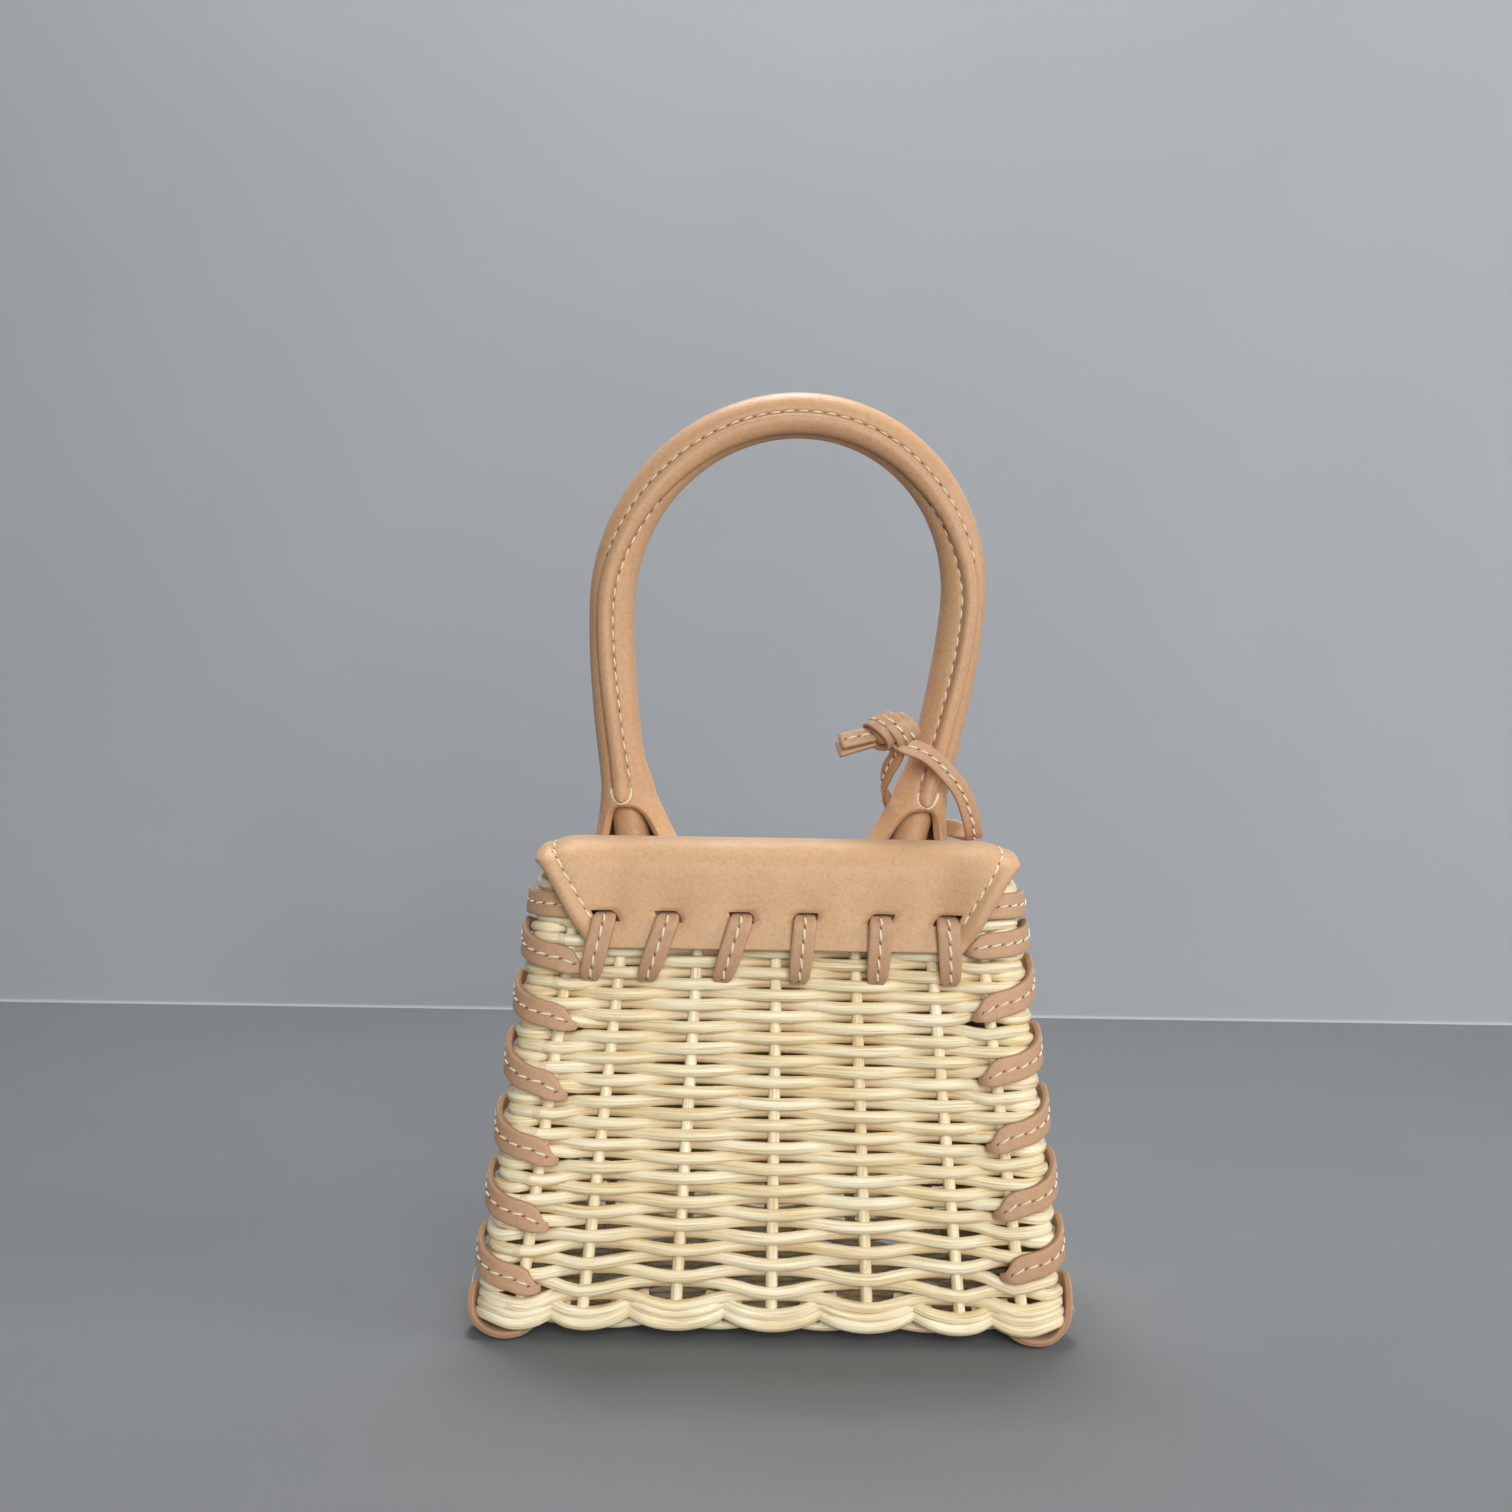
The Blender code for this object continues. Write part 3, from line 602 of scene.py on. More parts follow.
@dataclass(frozen=True)
class LeatherFinish:
    """Smooth leather with a fine pebbled grain, soft patches, darker raw edges and painted crease shade."""

    name: str
    light: Rgb
    deep: Rgb
    # raw: colour of the raw edges and the grain pits, also used for the painted crease shade.
    raw: Rgb
    grain: float = 1500.0
    grain_depth: float = 0.06 * MM
    roughness: tuple[float, float] = (0.42, 0.55)
    sheen: float = 0.12
    warp: float = 0.0008
    warp_scale: float = 600.0

    def material(self) -> Material:
        """Builds the material.

        Returns:
            The material.
        """
        nodes = Nodes(self.name)
        place = nodes.place()
        patch = nodes.noise(26.0, 2.0, place)
        mottle = nodes.noise(320.0, 4.0, place)
        stray = nodes.node("TexNoise", {"Scale": self.warp_scale, "Vector": place}).outputs["Color"]
        warp = nodes.node("Mix", {0: self.warp, 4: place, 5: stray}, data_type="VECTOR").outputs[1]
        cells = nodes.node(
            "TexVoronoi", {"Scale": self.grain, "Vector": warp}, feature="SMOOTH_F1"
        ).outputs["Distance"]
        share = nodes.maths("MULTIPLY", nodes.stretch(0.3, 0.7, patch), 0.6)
        share = nodes.maths("ADD", share, nodes.stretch(0.3, 0.7, mottle, (-0.1, 0.2)))
        paint = nodes.mix(share, colour(*self.light), colour(*self.deep))
        pit = nodes.stretch(0.35, 0.75, cells, (0.0, 0.18))
        paint = nodes.mix(pit, paint, colour(*self.raw))
        # The edge value mixes towards the raw colour: real raw edges, and painted shade in the creases
        # beside the handle's welt.
        edge_and_crease_shade = nodes.maths("MULTIPLY", nodes.value("edge"), 0.75)
        paint = nodes.mix(edge_and_crease_shade, paint, colour(*self.raw))
        nodes.dress(paint, nodes.stretch(0.3, 0.7, mottle, self.roughness))
        nodes.shader.inputs["Sheen Weight"].default_value = self.sheen
        nodes.shader.inputs["Sheen Roughness"].default_value = 0.5
        nodes.shader.inputs["Specular IOR Level"].default_value = 0.42
        soft = nodes.maths("MULTIPLY", mottle, 0.5)
        height = nodes.maths("ADD", nodes.maths("MULTIPLY", cells, -0.8), soft)
        nodes.bump(height, self.grain_depth)
        return nodes.material


@dataclass(frozen=True)
class ThreadFinish:
    """Waxed cream thread with its twist."""

    name: str = "cream_thread"
    light: Rgb = (246, 235, 211)
    deep: Rgb = (214, 194, 158)
    twist: float = 2200.0

    def material(self) -> Material:
        """Builds the material.

        Returns:
            The material.
        """
        nodes = Nodes(self.name)
        place = nodes.place()
        turned = nodes.node("Mapping", {"Vector": place, "Rotation": (0.5, 0.6, 0.4)}).outputs[0]
        strand = nodes.node("TexWave", {"Vector": turned, "Scale": self.twist, "Distortion": 1.0})
        share = nodes.maths("MULTIPLY", strand.outputs["Fac"], nodes.noise(900.0, 2.0, place))
        paint = nodes.mix(share, colour(*self.light), colour(*self.deep))
        nodes.dress(paint, nodes.stretch(0.0, 1.0, strand.outputs["Fac"], (0.5, 0.65)))
        nodes.bump(strand.outputs["Fac"], 0.05 * MM, 0.6)
        return nodes.material


@dataclass(frozen=True)
class MarkFinish:
    """A dark spot between two stitches: painted shade of the needle hole."""

    name: str = "needle_mark"
    dark: Rgb = (104, 72, 47)
    brown: Rgb = (134, 97, 66)

    def material(self) -> Material:
        """Builds the material.

        Returns:
            The material.
        """
        nodes = Nodes(self.name)
        spots = nodes.noise(1800.0, 2.0, nodes.place())
        nodes.dress(nodes.mix(spots, colour(*self.dark), colour(*self.brown)), 0.8)
        return nodes.material


@dataclass(frozen=True)
class StudioFinish:
    """The plain grey paper that the bag stands on and in front of."""

    name: str
    light: Rgb
    deep: Rgb

    def material(self) -> Material:
        """Builds the material.

        Returns:
            The material.
        """
        nodes = Nodes(self.name)
        place = nodes.place()
        soft = nodes.noise(3.0, 3.0, place)
        fibre = nodes.noise(700.0, 4.0, place)
        paint = nodes.mix(nodes.stretch(0.3, 0.7, soft), colour(*self.light), colour(*self.deep))
        nodes.dress(paint, 0.85)
        nodes.bump(fibre, 0.05 * MM, 0.4)
        return nodes.material


@dataclass(frozen=True)
class Palette:
    """All the finishes, built once."""

    cane: Material
    cover: Material
    handle: Material
    lace: Material
    thread: Material
    mark: Material


def build_palette() -> Palette:
    """Builds the finishes.

    Returns:
        All of them.
    """
    return Palette(
        cane=CaneFinish().material(),
        cover=LeatherFinish("cover_leather", (209, 168, 126), (198, 156, 114), (144, 105, 70)).material(),
        handle=LeatherFinish(
            "handle_leather", (203, 160, 119), (190, 147, 107), (128, 90, 60), grain=1300.0
        ).material(),
        lace=LeatherFinish(
            "lace_leather", (198, 157, 122), (184, 143, 108), (136, 99, 70), grain=2200.0,
            grain_depth=0.045 * MM, roughness=(0.5, 0.62), sheen=0.1,
        ).material(),
        thread=ThreadFinish().material(),
        mark=MarkFinish().material(),
    )


# Straps and seams


@dataclass(frozen=True)
class Station:
    """A place on a strap: its middle, the side its face turns to, half its width and half its
    thickness there, whether the sewn line shows, and how far the section drops to its lower edge."""

    point: Vector
    out: Vector
    half: float
    thick: float
    sewn: bool = False
    shift: float = 0.0


@dataclass(frozen=True)
class Step:
    """A finely spaced place on a strap, with the direction along it."""

    point: Vector
    along: Vector
    out: Vector
    half: float
    thick: float
    sewn: bool
    shift: float


def fine_steps(stations: list[Station], spacing: float, closed: bool = False) -> list[Step]:
    """Runs a smooth curve through a strap's stations.

    Args:
        stations: The strap's stations in order.
        spacing: Distance between the steps.
        closed: Whether the strap joins its own start.

    Returns:
        Steps about that distance apart.
    """
    count = len(stations)
    raw: list[Station] = []
    for index in range(count if closed else count - 1):
        first, second = stations[index], stations[(index + 1) % count]
        before = stations[index - 1] if index or closed else first
        after = stations[(index + 2) % count] if index + 2 < count or closed else second
        reach = (second.point - first.point).length
        start = (second.point - before.point).normalized() * reach
        end = (after.point - first.point).normalized() * reach
        pieces = max(2, round(reach / spacing))
        for piece in range(pieces):
            t = piece / pieces
            soft = smooth_step(t)
            raw.append(Station(
                curve(t, first.point, start, second.point, end),
                first.out.normalized().lerp(second.out.normalized(), soft),
                blend(first.half, second.half, soft),
                blend(first.thick, second.thick, soft),
                first.sewn,
                blend(first.shift, second.shift, soft),
            ))
    if not closed:
        last = stations[-1]
        raw.append(Station(last.point, last.out, last.half, last.thick))
    steps = []
    for index, place in enumerate(raw):
        before = raw[index - 1].point if index or closed else place.point
        after = raw[(index + 1) % len(raw)].point if index + 1 < len(raw) or closed else place.point
        along = (after - before).normalized()
        facing = (place.out - along * place.out.dot(along)).normalized()
        down = -1 if along.cross(facing).z > 0 else 1
        steps.append(
            Step(place.point, along, facing, place.half, place.thick, place.sewn, down * place.shift)
        )
    return steps


def signed_power(value: float, power: float) -> float:
    """A value to a power, with its sign kept."""
    return math.copysign(abs(value) ** power, value)


STRAP_TURNS = (
    0, 22, 42, 60, 76, 90, 104, 120, 138, 158, 180, 202, 222, 240, 256, 270, 284, 300, 318, 338,
)
STRAP_SECTION = tuple(
    (signed_power(math.cos(turn), 0.30), signed_power(math.sin(turn), 0.62))
    for turn in map(math.radians, STRAP_TURNS)
)
GROOVE_DEPTH = 0.12 * MM
GROOVE_HALF = 0.5 * MM
RAW_FROM = 0.9
SEWN_HEIGHT = 0.94


def add_strap(draft: Draft, steps: list[Step], closed: bool = False) -> None:
    """Adds a leather strap with rounded edges and the line that its stitches press into it.

    Args:
        draft: Where it goes.
        steps: Its finely spaced steps.
        closed: Whether it joins its own start.
    """
    rows = []
    for step in steps:
        side = step.along.cross(step.out)
        row = []
        for across, up in STRAP_SECTION:
            height = step.thick * up
            if step.sewn and up > 0:
                height -= GROOVE_DEPTH * math.exp(-((across * step.half / GROOVE_HALF) ** 2))
            point = step.point + side * (step.half * across + step.shift) + step.out * height
            edge = smooth_step((abs(across) - RAW_FROM) / (1 - RAW_FROM)) * (1 - abs(up))
            row.append(draft.add(point, edge=edge))
        rows.append(row)
    if closed:
        draft.skin(rows, closed=True)
    else:
        draft.close(rows)


def sewn_runs(steps: list[Step]) -> list[list[Step]]:
    """Stretches of successive steps on which the sewn line shows.

    Args:
        steps: A strap's steps.

    Returns:
        The stretches of more than two steps.
    """
    runs: list[list[Step]] = []
    for index, step in enumerate(steps):
        if step.sewn:
            if not index or not steps[index - 1].sewn:
                runs.append([])
            runs[-1].append(step)
    return [run for run in runs if len(run) > 2]


@dataclass(frozen=True)
class Stitch:
    """Size of one stitch and of the mark between two."""

    length: float = 2.3 * MM
    pitch: float = 3.15 * MM
    radius: float = 0.25 * MM
    mark_length: float = 0.85 * MM
    mark_radius: float = 0.16 * MM
    slant: float = 9.0
    mark_slant: float = 32.0
    dip: float = 0.22 * MM
    mark_dip: float = 0.05 * MM
    sides: int = 6
    flatness: float = 0.85
    taper: Table = (
        (-1.0, 0.25), (-0.82, 0.8), (-0.4, 1.0), (0.4, 1.0), (0.82, 0.8), (1.0, 0.25),
    )

    def lens(self, name: str, length: float, radius: float, dip: float) -> bpy.types.Object:
        """A small rod along X with tapered ends that dip.

        Args:
            name: The rod's name.
            length: From end to end.
            radius: At its middle.
            dip: How far its ends go down.

        Returns:
            An object that isn't in the scene, to be repeated.
        """
        draft = Draft()
        rows = []
        for place, share in self.taper:
            centre = Vector((place * length / 2, 0, -dip * place**4))
            wide = Vector((0, radius * share, 0))
            tall = Vector((0, 0, self.flatness * radius * share))
            rows.append(draft.ring(centre, wide, tall, self.sides))
        draft.close(rows)
        return bpy.data.objects.new(name, draft.mesh(name))


@dataclass
class Seam:
    """The stitches of one piece and the dark spots of painted needle-hole shade between them."""

    stitch: Stitch = field(default_factory=Stitch)
    threads: Draft = field(default_factory=Draft)
    marks: Draft = field(default_factory=Draft)
    chance: random.Random = field(default_factory=lambda: random.Random(11))
    turn_spread: float = 3.0
    drift_spread: float = 0.06
    thread_rise: float = 0.07 * MM
    mark_rise: float = -0.02 * MM

    def follow(self, line: list[tuple[Vector, Vector]], inset: float = 0.0) -> None:
        """Sets stitches along a line.

        Args:
            line: Places on the surface with the outward direction at each.
            inset: Length left free at each end.
        """
        lengths = [0.0]
        for (before, _), (after, _) in zip(line, line[1:]):
            lengths.append(lengths[-1] + (after - before).length)
        total = lengths[-1] - 2 * inset
        count = max(1, round(total / self.stitch.pitch))
        for number in range(2 * count + 1):
            where = inset + total * number / (2 * count)
            index = 0
            while index < len(lengths) - 2 and lengths[index + 1] < where:
                index += 1
            span = lengths[index + 1] - lengths[index] or 1.0
            share = (where - lengths[index]) / span
            point = line[index][0].lerp(line[index + 1][0], share)
            out = line[index][1].lerp(line[index + 1][1], share).normalized()
            along = (line[index + 1][0] - line[index][0]).normalized()
            side = out.cross(along)
            thread = number % 2 == 1
            slant = self.stitch.slant if thread else self.stitch.mark_slant
            turn = math.radians(slant + self.chance.uniform(-self.turn_spread, self.turn_spread))
            along = along * math.cos(turn) + side * math.sin(turn)
            drift = side * self.chance.uniform(-self.drift_spread, self.drift_spread) * MM
            rise = self.thread_rise if thread else self.mark_rise
            target = self.threads if thread else self.marks
            target.add(point + drift + out * rise, along=along, out=out)

    def sew(self, steps: list[Step], inset: float) -> None:
        """Sews the middle line of a strap.

        Args:
            steps: The strap's steps.
            inset: Length left free at each end of a sewn run.
        """
        for run in sewn_runs(steps):
            self.follow([(s.point + s.out * s.thick * SEWN_HEIGHT, s.out) for s in run], inset)

    def finish(self, name: str, slot: Slot, tree: Tree, palette: Palette) -> None:
        """Makes the stitches and marks as two pieces.

        Args:
            name: Start of their names.
            slot: Not used.
            tree: The tree that repeats a shape.
            palette: The finishes.
        """
        stitch = self.stitch
        kinds = (
            ("stitches", self.threads, palette.thread,
             stitch.lens("stitch", stitch.length, stitch.radius, stitch.dip)),
            # The dark spots between stitches are painted shade of the needle holes.
            ("needle_marks", self.marks, palette.mark,
             stitch.lens("needle mark", stitch.mark_length, stitch.mark_radius, stitch.mark_dip)),
        )
        for kind, draft, material, shape in kinds:
            mesh = tree.run(draft.mesh(kind), {"Shape": shape, "Seed": 5, "Material": material})
            place_piece(f"{name}_{kind}", mesh)
            bpy.data.objects.remove(shape)


@dataclass(frozen=True)
class Strap:
    """One leather strap that is shown as a piece and sewn along its middle."""

    name: str
    nodes: tuple[str, ...]
    palette: Palette
    closed: bool = False

    def build(
        self, stations: list[Station], spacing: float, seam: Seam, inset: float = 0.5 * MM
    ) -> None:
        """Builds the strap.

        Args:
            stations: Its stations in order.
            spacing: Distance between its steps.
            seam: Where its stitches go.
            inset: Length left free at each end of its sewn line.
        """
        steps = fine_steps(stations, spacing, self.closed)
        draft = Draft()
        add_strap(draft, steps, self.closed)
        mesh = draft.mesh(self.name)
        place_piece(self.name, mesh, self.nodes, self.palette.lace)
        seam.sew(steps, inset)


# The woven body


@dataclass(frozen=True)
class Spot:
    """A place round the body: on a wall, as a share of its straight half, or on the corner after
    it, as an angle."""

    wall: int
    place: float
    angle: float | None = None


@dataclass(frozen=True)
class Body:
    """The shape of the woven body, as in the frame's solids."""

    base_width: float = 128.5 * MM
    rim_width: float = 104.6 * MM
    base_depth: float = 62 * MM
    rim_depth: float = 45.8 * MM
    rim_height: float = 101.6 * MM
    corner_radius: float = 9 * MM
    wall: float = 4.2 * MM
    border_low: float = 1.9 * MM
    arch_rise: float = 1.2 * MM
    arch_fade: float = 40 * MM
    long_stakes: tuple[float, ...] = (-0.977, -0.733, -0.372, 0.0, 0.372, 0.733, 0.977)
    side_stakes: tuple[float, ...] = (-0.8, 0.0, 0.8)
    long_hole: float = 12 * MM
    side_hole: float = 12 * MM
    lace_turns: Table = (
        (0.881, 0.890),
        (0.767, 0.819),
        (0.646, 0.673),
        (0.498, 0.544),
        (0.367, 0.406),
        (0.232, 0.270),
        (0.107, 0.145),
    )
    first_drop: float = 4.2 * MM
    inner_drop: float = 2.7 * MM

    def half(self, height: float) -> tuple[float, float]:
        """Half the width and half the depth at a height.

        Args:
            height: The height.

        Returns:
            Both halves of the outer outline.
        """
        share = height / self.rim_height
        return (
            blend(self.base_width, self.rim_width, share) / 2,
            blend(self.base_depth, self.rim_depth, share) / 2,
        )

    def stakes(self, wall: int) -> tuple[float, ...]:
        """Places of the stakes of a wall."""
        return self.long_stakes if wall % 2 == 0 else self.side_stakes

    def straight(self, wall: int, height: float) -> float:
        """Half the straight part of a wall."""
        return self.half(height)[wall % 2] - self.corner_radius

    def point(self, spot: Spot, height: float, inset: float) -> Vector:
        """The point of a spot at a height, inset from the outer outline.

        Args:
            spot: A place round the body.
            height: Its height.
            inset: Its distance inside the outline.

        Returns:
            The point.
        """
        along = self.straight(spot.wall, height)
        out = self.half(height)[(spot.wall + 1) % 2]
        if spot.angle is None:
            local = Vector((spot.place * along, inset - out, height))
        else:
            angle = math.radians(spot.angle)
            radius = self.corner_radius - inset
            local = Vector((
                along + radius * math.sin(angle),
                self.corner_radius - out - radius * math.cos(angle),
                height,
            ))
        return Matrix.Rotation(spot.wall * math.pi / 2, 3, "Z") @ local

    def arch(self, spot: Spot) -> float:
        """How far the middle of a wall's lower edge is raised, from 0 at a corner to 1."""
        return 0.0 if spot.angle is not None else smooth_step((1 - abs(spot.place)) / 0.4)

    def lift(self, spot: Spot, height: float) -> float:
        """The rise of the lower rows over the arch of each wall."""
        return self.arch_rise * self.arch(spot) * max(0.0, 1 - height / self.arch_fade)

    def holes(self, side: Side) -> tuple[list[float], list[float]]:
        """Heights of a corner's lace holes: in the long wall, then in the side wall.

        Args:
            side: The end of the bag.

        Returns:
            The heights in the long wall, and those in the side wall.
        """
        column = 0 if side is Side.LEFT else 1
        long_holes = [row[column] * self.rim_height for row in self.lace_turns]
        side_holes = [long_holes[0] + self.first_drop]
        side_holes += [height - self.inner_drop for height in long_holes]
        return long_holes, side_holes


@dataclass
class Weave:
    """The cane weave: rows that pass outside and inside the stakes by turns, the stakes, the foot
    and rim borders and the base."""

    body: Body
    palette: Palette
    tree: Tree
    radius: float = 1.36 * MM
    middle: float = 2.55 * MM
    sway: float = 1.20 * MM
    stake_radius: float = 1.3 * MM
    lowest: float = 8.4 * MM
    highest: float = 96.9 * MM
    wide_rows: int = 10
    first_pitch: float = 2.85 * MM
    last_pitch: float = 2.28 * MM
    dip: float = 0.75 * MM
    dip_fade: float = 15 * MM
    spacing: float = 2.4 * MM
    corner_steps: int = 8
    parting: float = 1.1 * MM
    fibres: int = 22
    fibre_radius: float = 0.05 * MM
    fibre_heights: tuple[int, ...] = (11, 16, 24, 36, 48, 62, 70)
    seed: int = 7
    measured_at: float = 50 * MM
    least_dip: float = 0.08 * MM
    wander: tuple[float, float] = (0.08, 0.2)
    wave: float = 9 * MM
    rough_height: float = 0.04
    rough_inset: float = 0.03
    scallop_rise: float = 0.8 * MM
    scallop_fade: float = 11 * MM
    part_reach: float = 9 * MM
    part_high: float = 3.2 * MM
    part_wide: float = 3.4 * MM
    stake_ends: tuple[float, float] = (3.4 * MM, 99.4 * MM)
    stake_steps: int = 23
    corner_lift: float = 2.6 * MM
    corner_reach: float = 8 * MM
    corner_fade: float = 9 * MM
    arc_over: float = 3.4 * MM
    arc_steps: tuple[int, int] = (20, 34)
    arc_levels: tuple[int, int] = (2, 3)
    arc_pitch: float = 2.15 * MM
    arc_rise: tuple[float, float] = (2.2 * MM, 0.35 * MM)
    arc_dive: float = 3.4 * MM
    arc_corner: float = 8 * MM
    base_corner: float = 6.5 * MM
    base_cross: int = 11
    base_ends: float = 4 * MM
    base_pitch: float = 2.15 * MM
    base_sway: float = 0.62 * MM
    base_radius: float = 0.98 * MM

    def spots(self) -> list[Spot]:
        """Closely spaced spots once round the body.

        Returns:
            The spots in order.
        """
        found = []
        for wall in range(4):
            count = round(2 * self.body.straight(wall, self.measured_at) / self.spacing)
            found += [Spot(wall, 2 * step / count - 1) for step in range(count + 1)]
            found += [
                Spot(wall, 1.0, 90 * step / self.corner_steps) for step in range(1, self.corner_steps)
            ]
        return found

    def distance(self, spot: Spot) -> float:
        """Length round the body to a spot, at half height.

        Args:
            spot: A place round the body.

        Returns:
            The length from the left end of the laced wall.
        """
        height = self.measured_at
        arc = self.body.corner_radius * math.pi / 2
        total = 0.0
        for wall in range(spot.wall):
            total += 2 * self.body.straight(wall, height) + arc
        total += self.body.straight(spot.wall, height) * (1 + spot.place)
        return total + (arc * spot.angle / 90 if spot.angle is not None else 0.0)

    def around(self) -> float:
        """Length once round the body."""
        return self.distance(Spot(3, 1.0, 90))

    def knots(self, course: int) -> list[tuple[float, float]]:
        """Where a row passes outside and inside the stakes.

        Args:
            course: The row's number from the foot.

        Returns:
            Rows of (length round the body, 1 for outside or -1 for inside).
        """
        found = []
        for wall in range(4):
            for number, place in enumerate(self.body.stakes(wall)):
                outside = (number + course + wall % 2) % 2 == 0
                found.append((self.distance(Spot(wall, place)), 1.0 if outside else -1.0))
            found.append((self.distance(Spot(wall, 1.0, 45)), 1.0))
        return found

    def outside(self, knots: list[tuple[float, float]], where: float, total: float) -> float:
        """Reads the knots at a length round the body, with a smooth swing between them.

        Args:
            knots: The row's knots in order.
            where: Length round the body.
            total: Length once round.

        Returns:
            1 where the row is outside, -1 where it is inside.
        """
        looped = [(knots[-1][0] - total, knots[-1][1])] + knots + [(knots[0][0] + total, knots[0][1])]
        for (low, first), (high, second) in zip(looped, looped[1:]):
            if where <= high:
                share = (where - low) / (high - low)
                return blend(first, second, (1 - math.cos(math.pi * share)) / 2)
        return knots[0][1]

    def parted(self, point: Vector) -> float:
        """How far a row gives way beside the holes that the laces pass through.

        Args:
            point: A place on the row.

        Returns:
            Its move, upwards or downwards.
        """
        side = Side.LEFT if point.x < 0 else Side.RIGHT
        half_width, half_depth = self.body.half(point.z)
        long_holes, side_holes = self.body.holes(side)
        moved = 0.0
        for heights, across in (
            (long_holes, half_width - self.body.long_hole - abs(point.x)),
            (side_holes, half_depth - self.body.side_hole - abs(point.y)),
        ):
            if abs(across) > self.part_reach:
                continue
            for height in heights:
                off = point.z - height
                if abs(off) < self.part_reach:
                    push = math.copysign(self.parting, off) * math.exp(-((off / self.part_high) ** 2))
                    moved += push * math.exp(-((across / self.part_wide) ** 2))
        return moved

    def row_heights(self) -> list[float]:
        """Heights of the rows, further apart near the foot.

        Returns:
            The heights from the foot up.
        """
        found = [self.lowest]
        while found[-1] < self.highest:
            share = min(1.0, (len(found) - 1) / self.wide_rows)
            found.append(found[-1] + blend(self.first_pitch, self.last_pitch, share))
        return found[:-1]

    def loop(self, draft: Draft, points: list[tuple[Vector, float]], closed: bool = True) -> None:
        """Adds one path to a draft.

        Args:
            draft: Where it goes.
            points: Its points, each with how far outside the stakes it is.
            closed: Whether it joins its own start.
        """
        numbers = [draft.add(point, outside=outside) for point, outside in points]
        draft.edges += list(zip(numbers, numbers[1:]))
        if closed:
            draft.edges.append((numbers[-1], numbers[0]))

    def cane(self, draft: Draft, name: str, radius: float, sides: int, nodes: tuple[str, ...]) -> None:
        """Runs canes along a draft's paths and shows them.

        Args:
            draft: The paths.
            name: The piece's name.
            radius: Radius of the canes.
            sides: Sides of their section.
            nodes: Solids of the frame that they stand for.
        """
        inputs = {"Radius": radius, "Sides": sides, "Seed": self.seed, "Material": self.palette.cane}
        mesh = self.tree.run(draft.mesh(name), inputs)
        place_piece(name, mesh, nodes)

    def build_rows(self) -> None:
        """The woven rows."""
        chance = random.Random(self.seed)
        draft = Draft()
        spots = self.spots()
        total = self.around()
        for course, height in enumerate(self.row_heights()):
            knots = self.knots(course)
            phase, wander = chance.uniform(0, 6.28), chance.uniform(*self.wander) * MM
            dip = self.least_dip + self.dip * math.exp((self.lowest - height) / self.dip_fade)
            fade = math.exp((self.lowest - height) / self.scallop_fade)
            path = []
            for spot in spots:
                where = self.distance(spot)
                swing = self.outside(knots, where, total)
                wave = wander * math.sin(phase + where / self.wave)
                wave += chance.uniform(-self.rough_height, self.rough_height) * MM
                z = height + self.body.lift(spot, height) - dip * swing + wave
                z += self.scallop_rise * fade * (self.scallop(spot) - 0.5)
                z += self.corner_rise(spot, height)
                z += self.parted(self.body.point(spot, z, self.middle))
                inset = self.middle - self.sway * swing
                inset += chance.uniform(-self.rough_inset, self.rough_inset) * MM
                # swing is kept as the outside value; the cane finish paints shade where it is below 0.1.
                path.append((self.body.point(spot, z, inset), swing))
            self.loop(draft, path)
        self.cane(draft, "woven_rows", self.radius, 8, ("basket_wall",))

    def build_stakes(self) -> None:
        """The upright stakes."""
        draft = Draft()
        for wall in range(4):
            for place in self.body.stakes(wall):
                spot = Spot(wall, place)
                path = []
                for step in range(self.stake_steps + 1):
                    height = blend(*self.stake_ends, step / self.stake_steps)
                    path.append((self.body.point(spot, height, self.middle), 0.25))
                self.loop(draft, path, closed=False)
        self.cane(draft, "stakes", self.stake_radius, 10, ())

    def scallop(self, spot: Spot) -> float:
        """Rise of the lowest rows between two stakes.

        Args:
            spot: A place round the body.

        Returns:
            0 at a stake and round a corner, 1 in the middle between two stakes.
        """
        if spot.angle is not None:
            return 0.0
        stakes = self.body.stakes(spot.wall)
        for low, high in zip(stakes, stakes[1:]):
            if low <= spot.place <= high:
                return (1 - math.cos(2 * math.pi * (spot.place - low) / (high - low))) / 2
        return 0.0

    def corner_rise(self, spot: Spot, height: float) -> float:
        """How far the lowest canes rise round a corner, where the lace passes under them.

        Args:
            spot: A place round the body.
            height: Its height.

        Returns:
            The rise.
        """
        middle = self.distance(Spot(spot.wall, 1.0, 45))
        before = self.distance(Spot((spot.wall - 1) % 4, 1.0, 45))
        total = self.around()
        where = self.distance(spot)
        off = min(abs(where - middle), (where - before) % total)
        near = math.exp(-((off / self.corner_reach) ** 2))
        return self.corner_lift * near * math.exp(-height / self.corner_fade)

    def spot_at(self, where: float) -> Spot:
        """Finds the spot at a length round the body.

        Args:
            where: The length.

        Returns:
            The spot.
        """
        height = self.measured_at
        arc = self.body.corner_radius * math.pi / 2
        where %= self.around()
        for wall in range(4):
            straight = 2 * self.body.straight(wall, height)
            if where <= straight:
                return Spot(wall, 2 * where / straight - 1)
            where -= straight
            if where <= arc:
                return Spot(wall, 1.0, 90 * where / arc)
            where -= arc
        return Spot(0, -1.0)

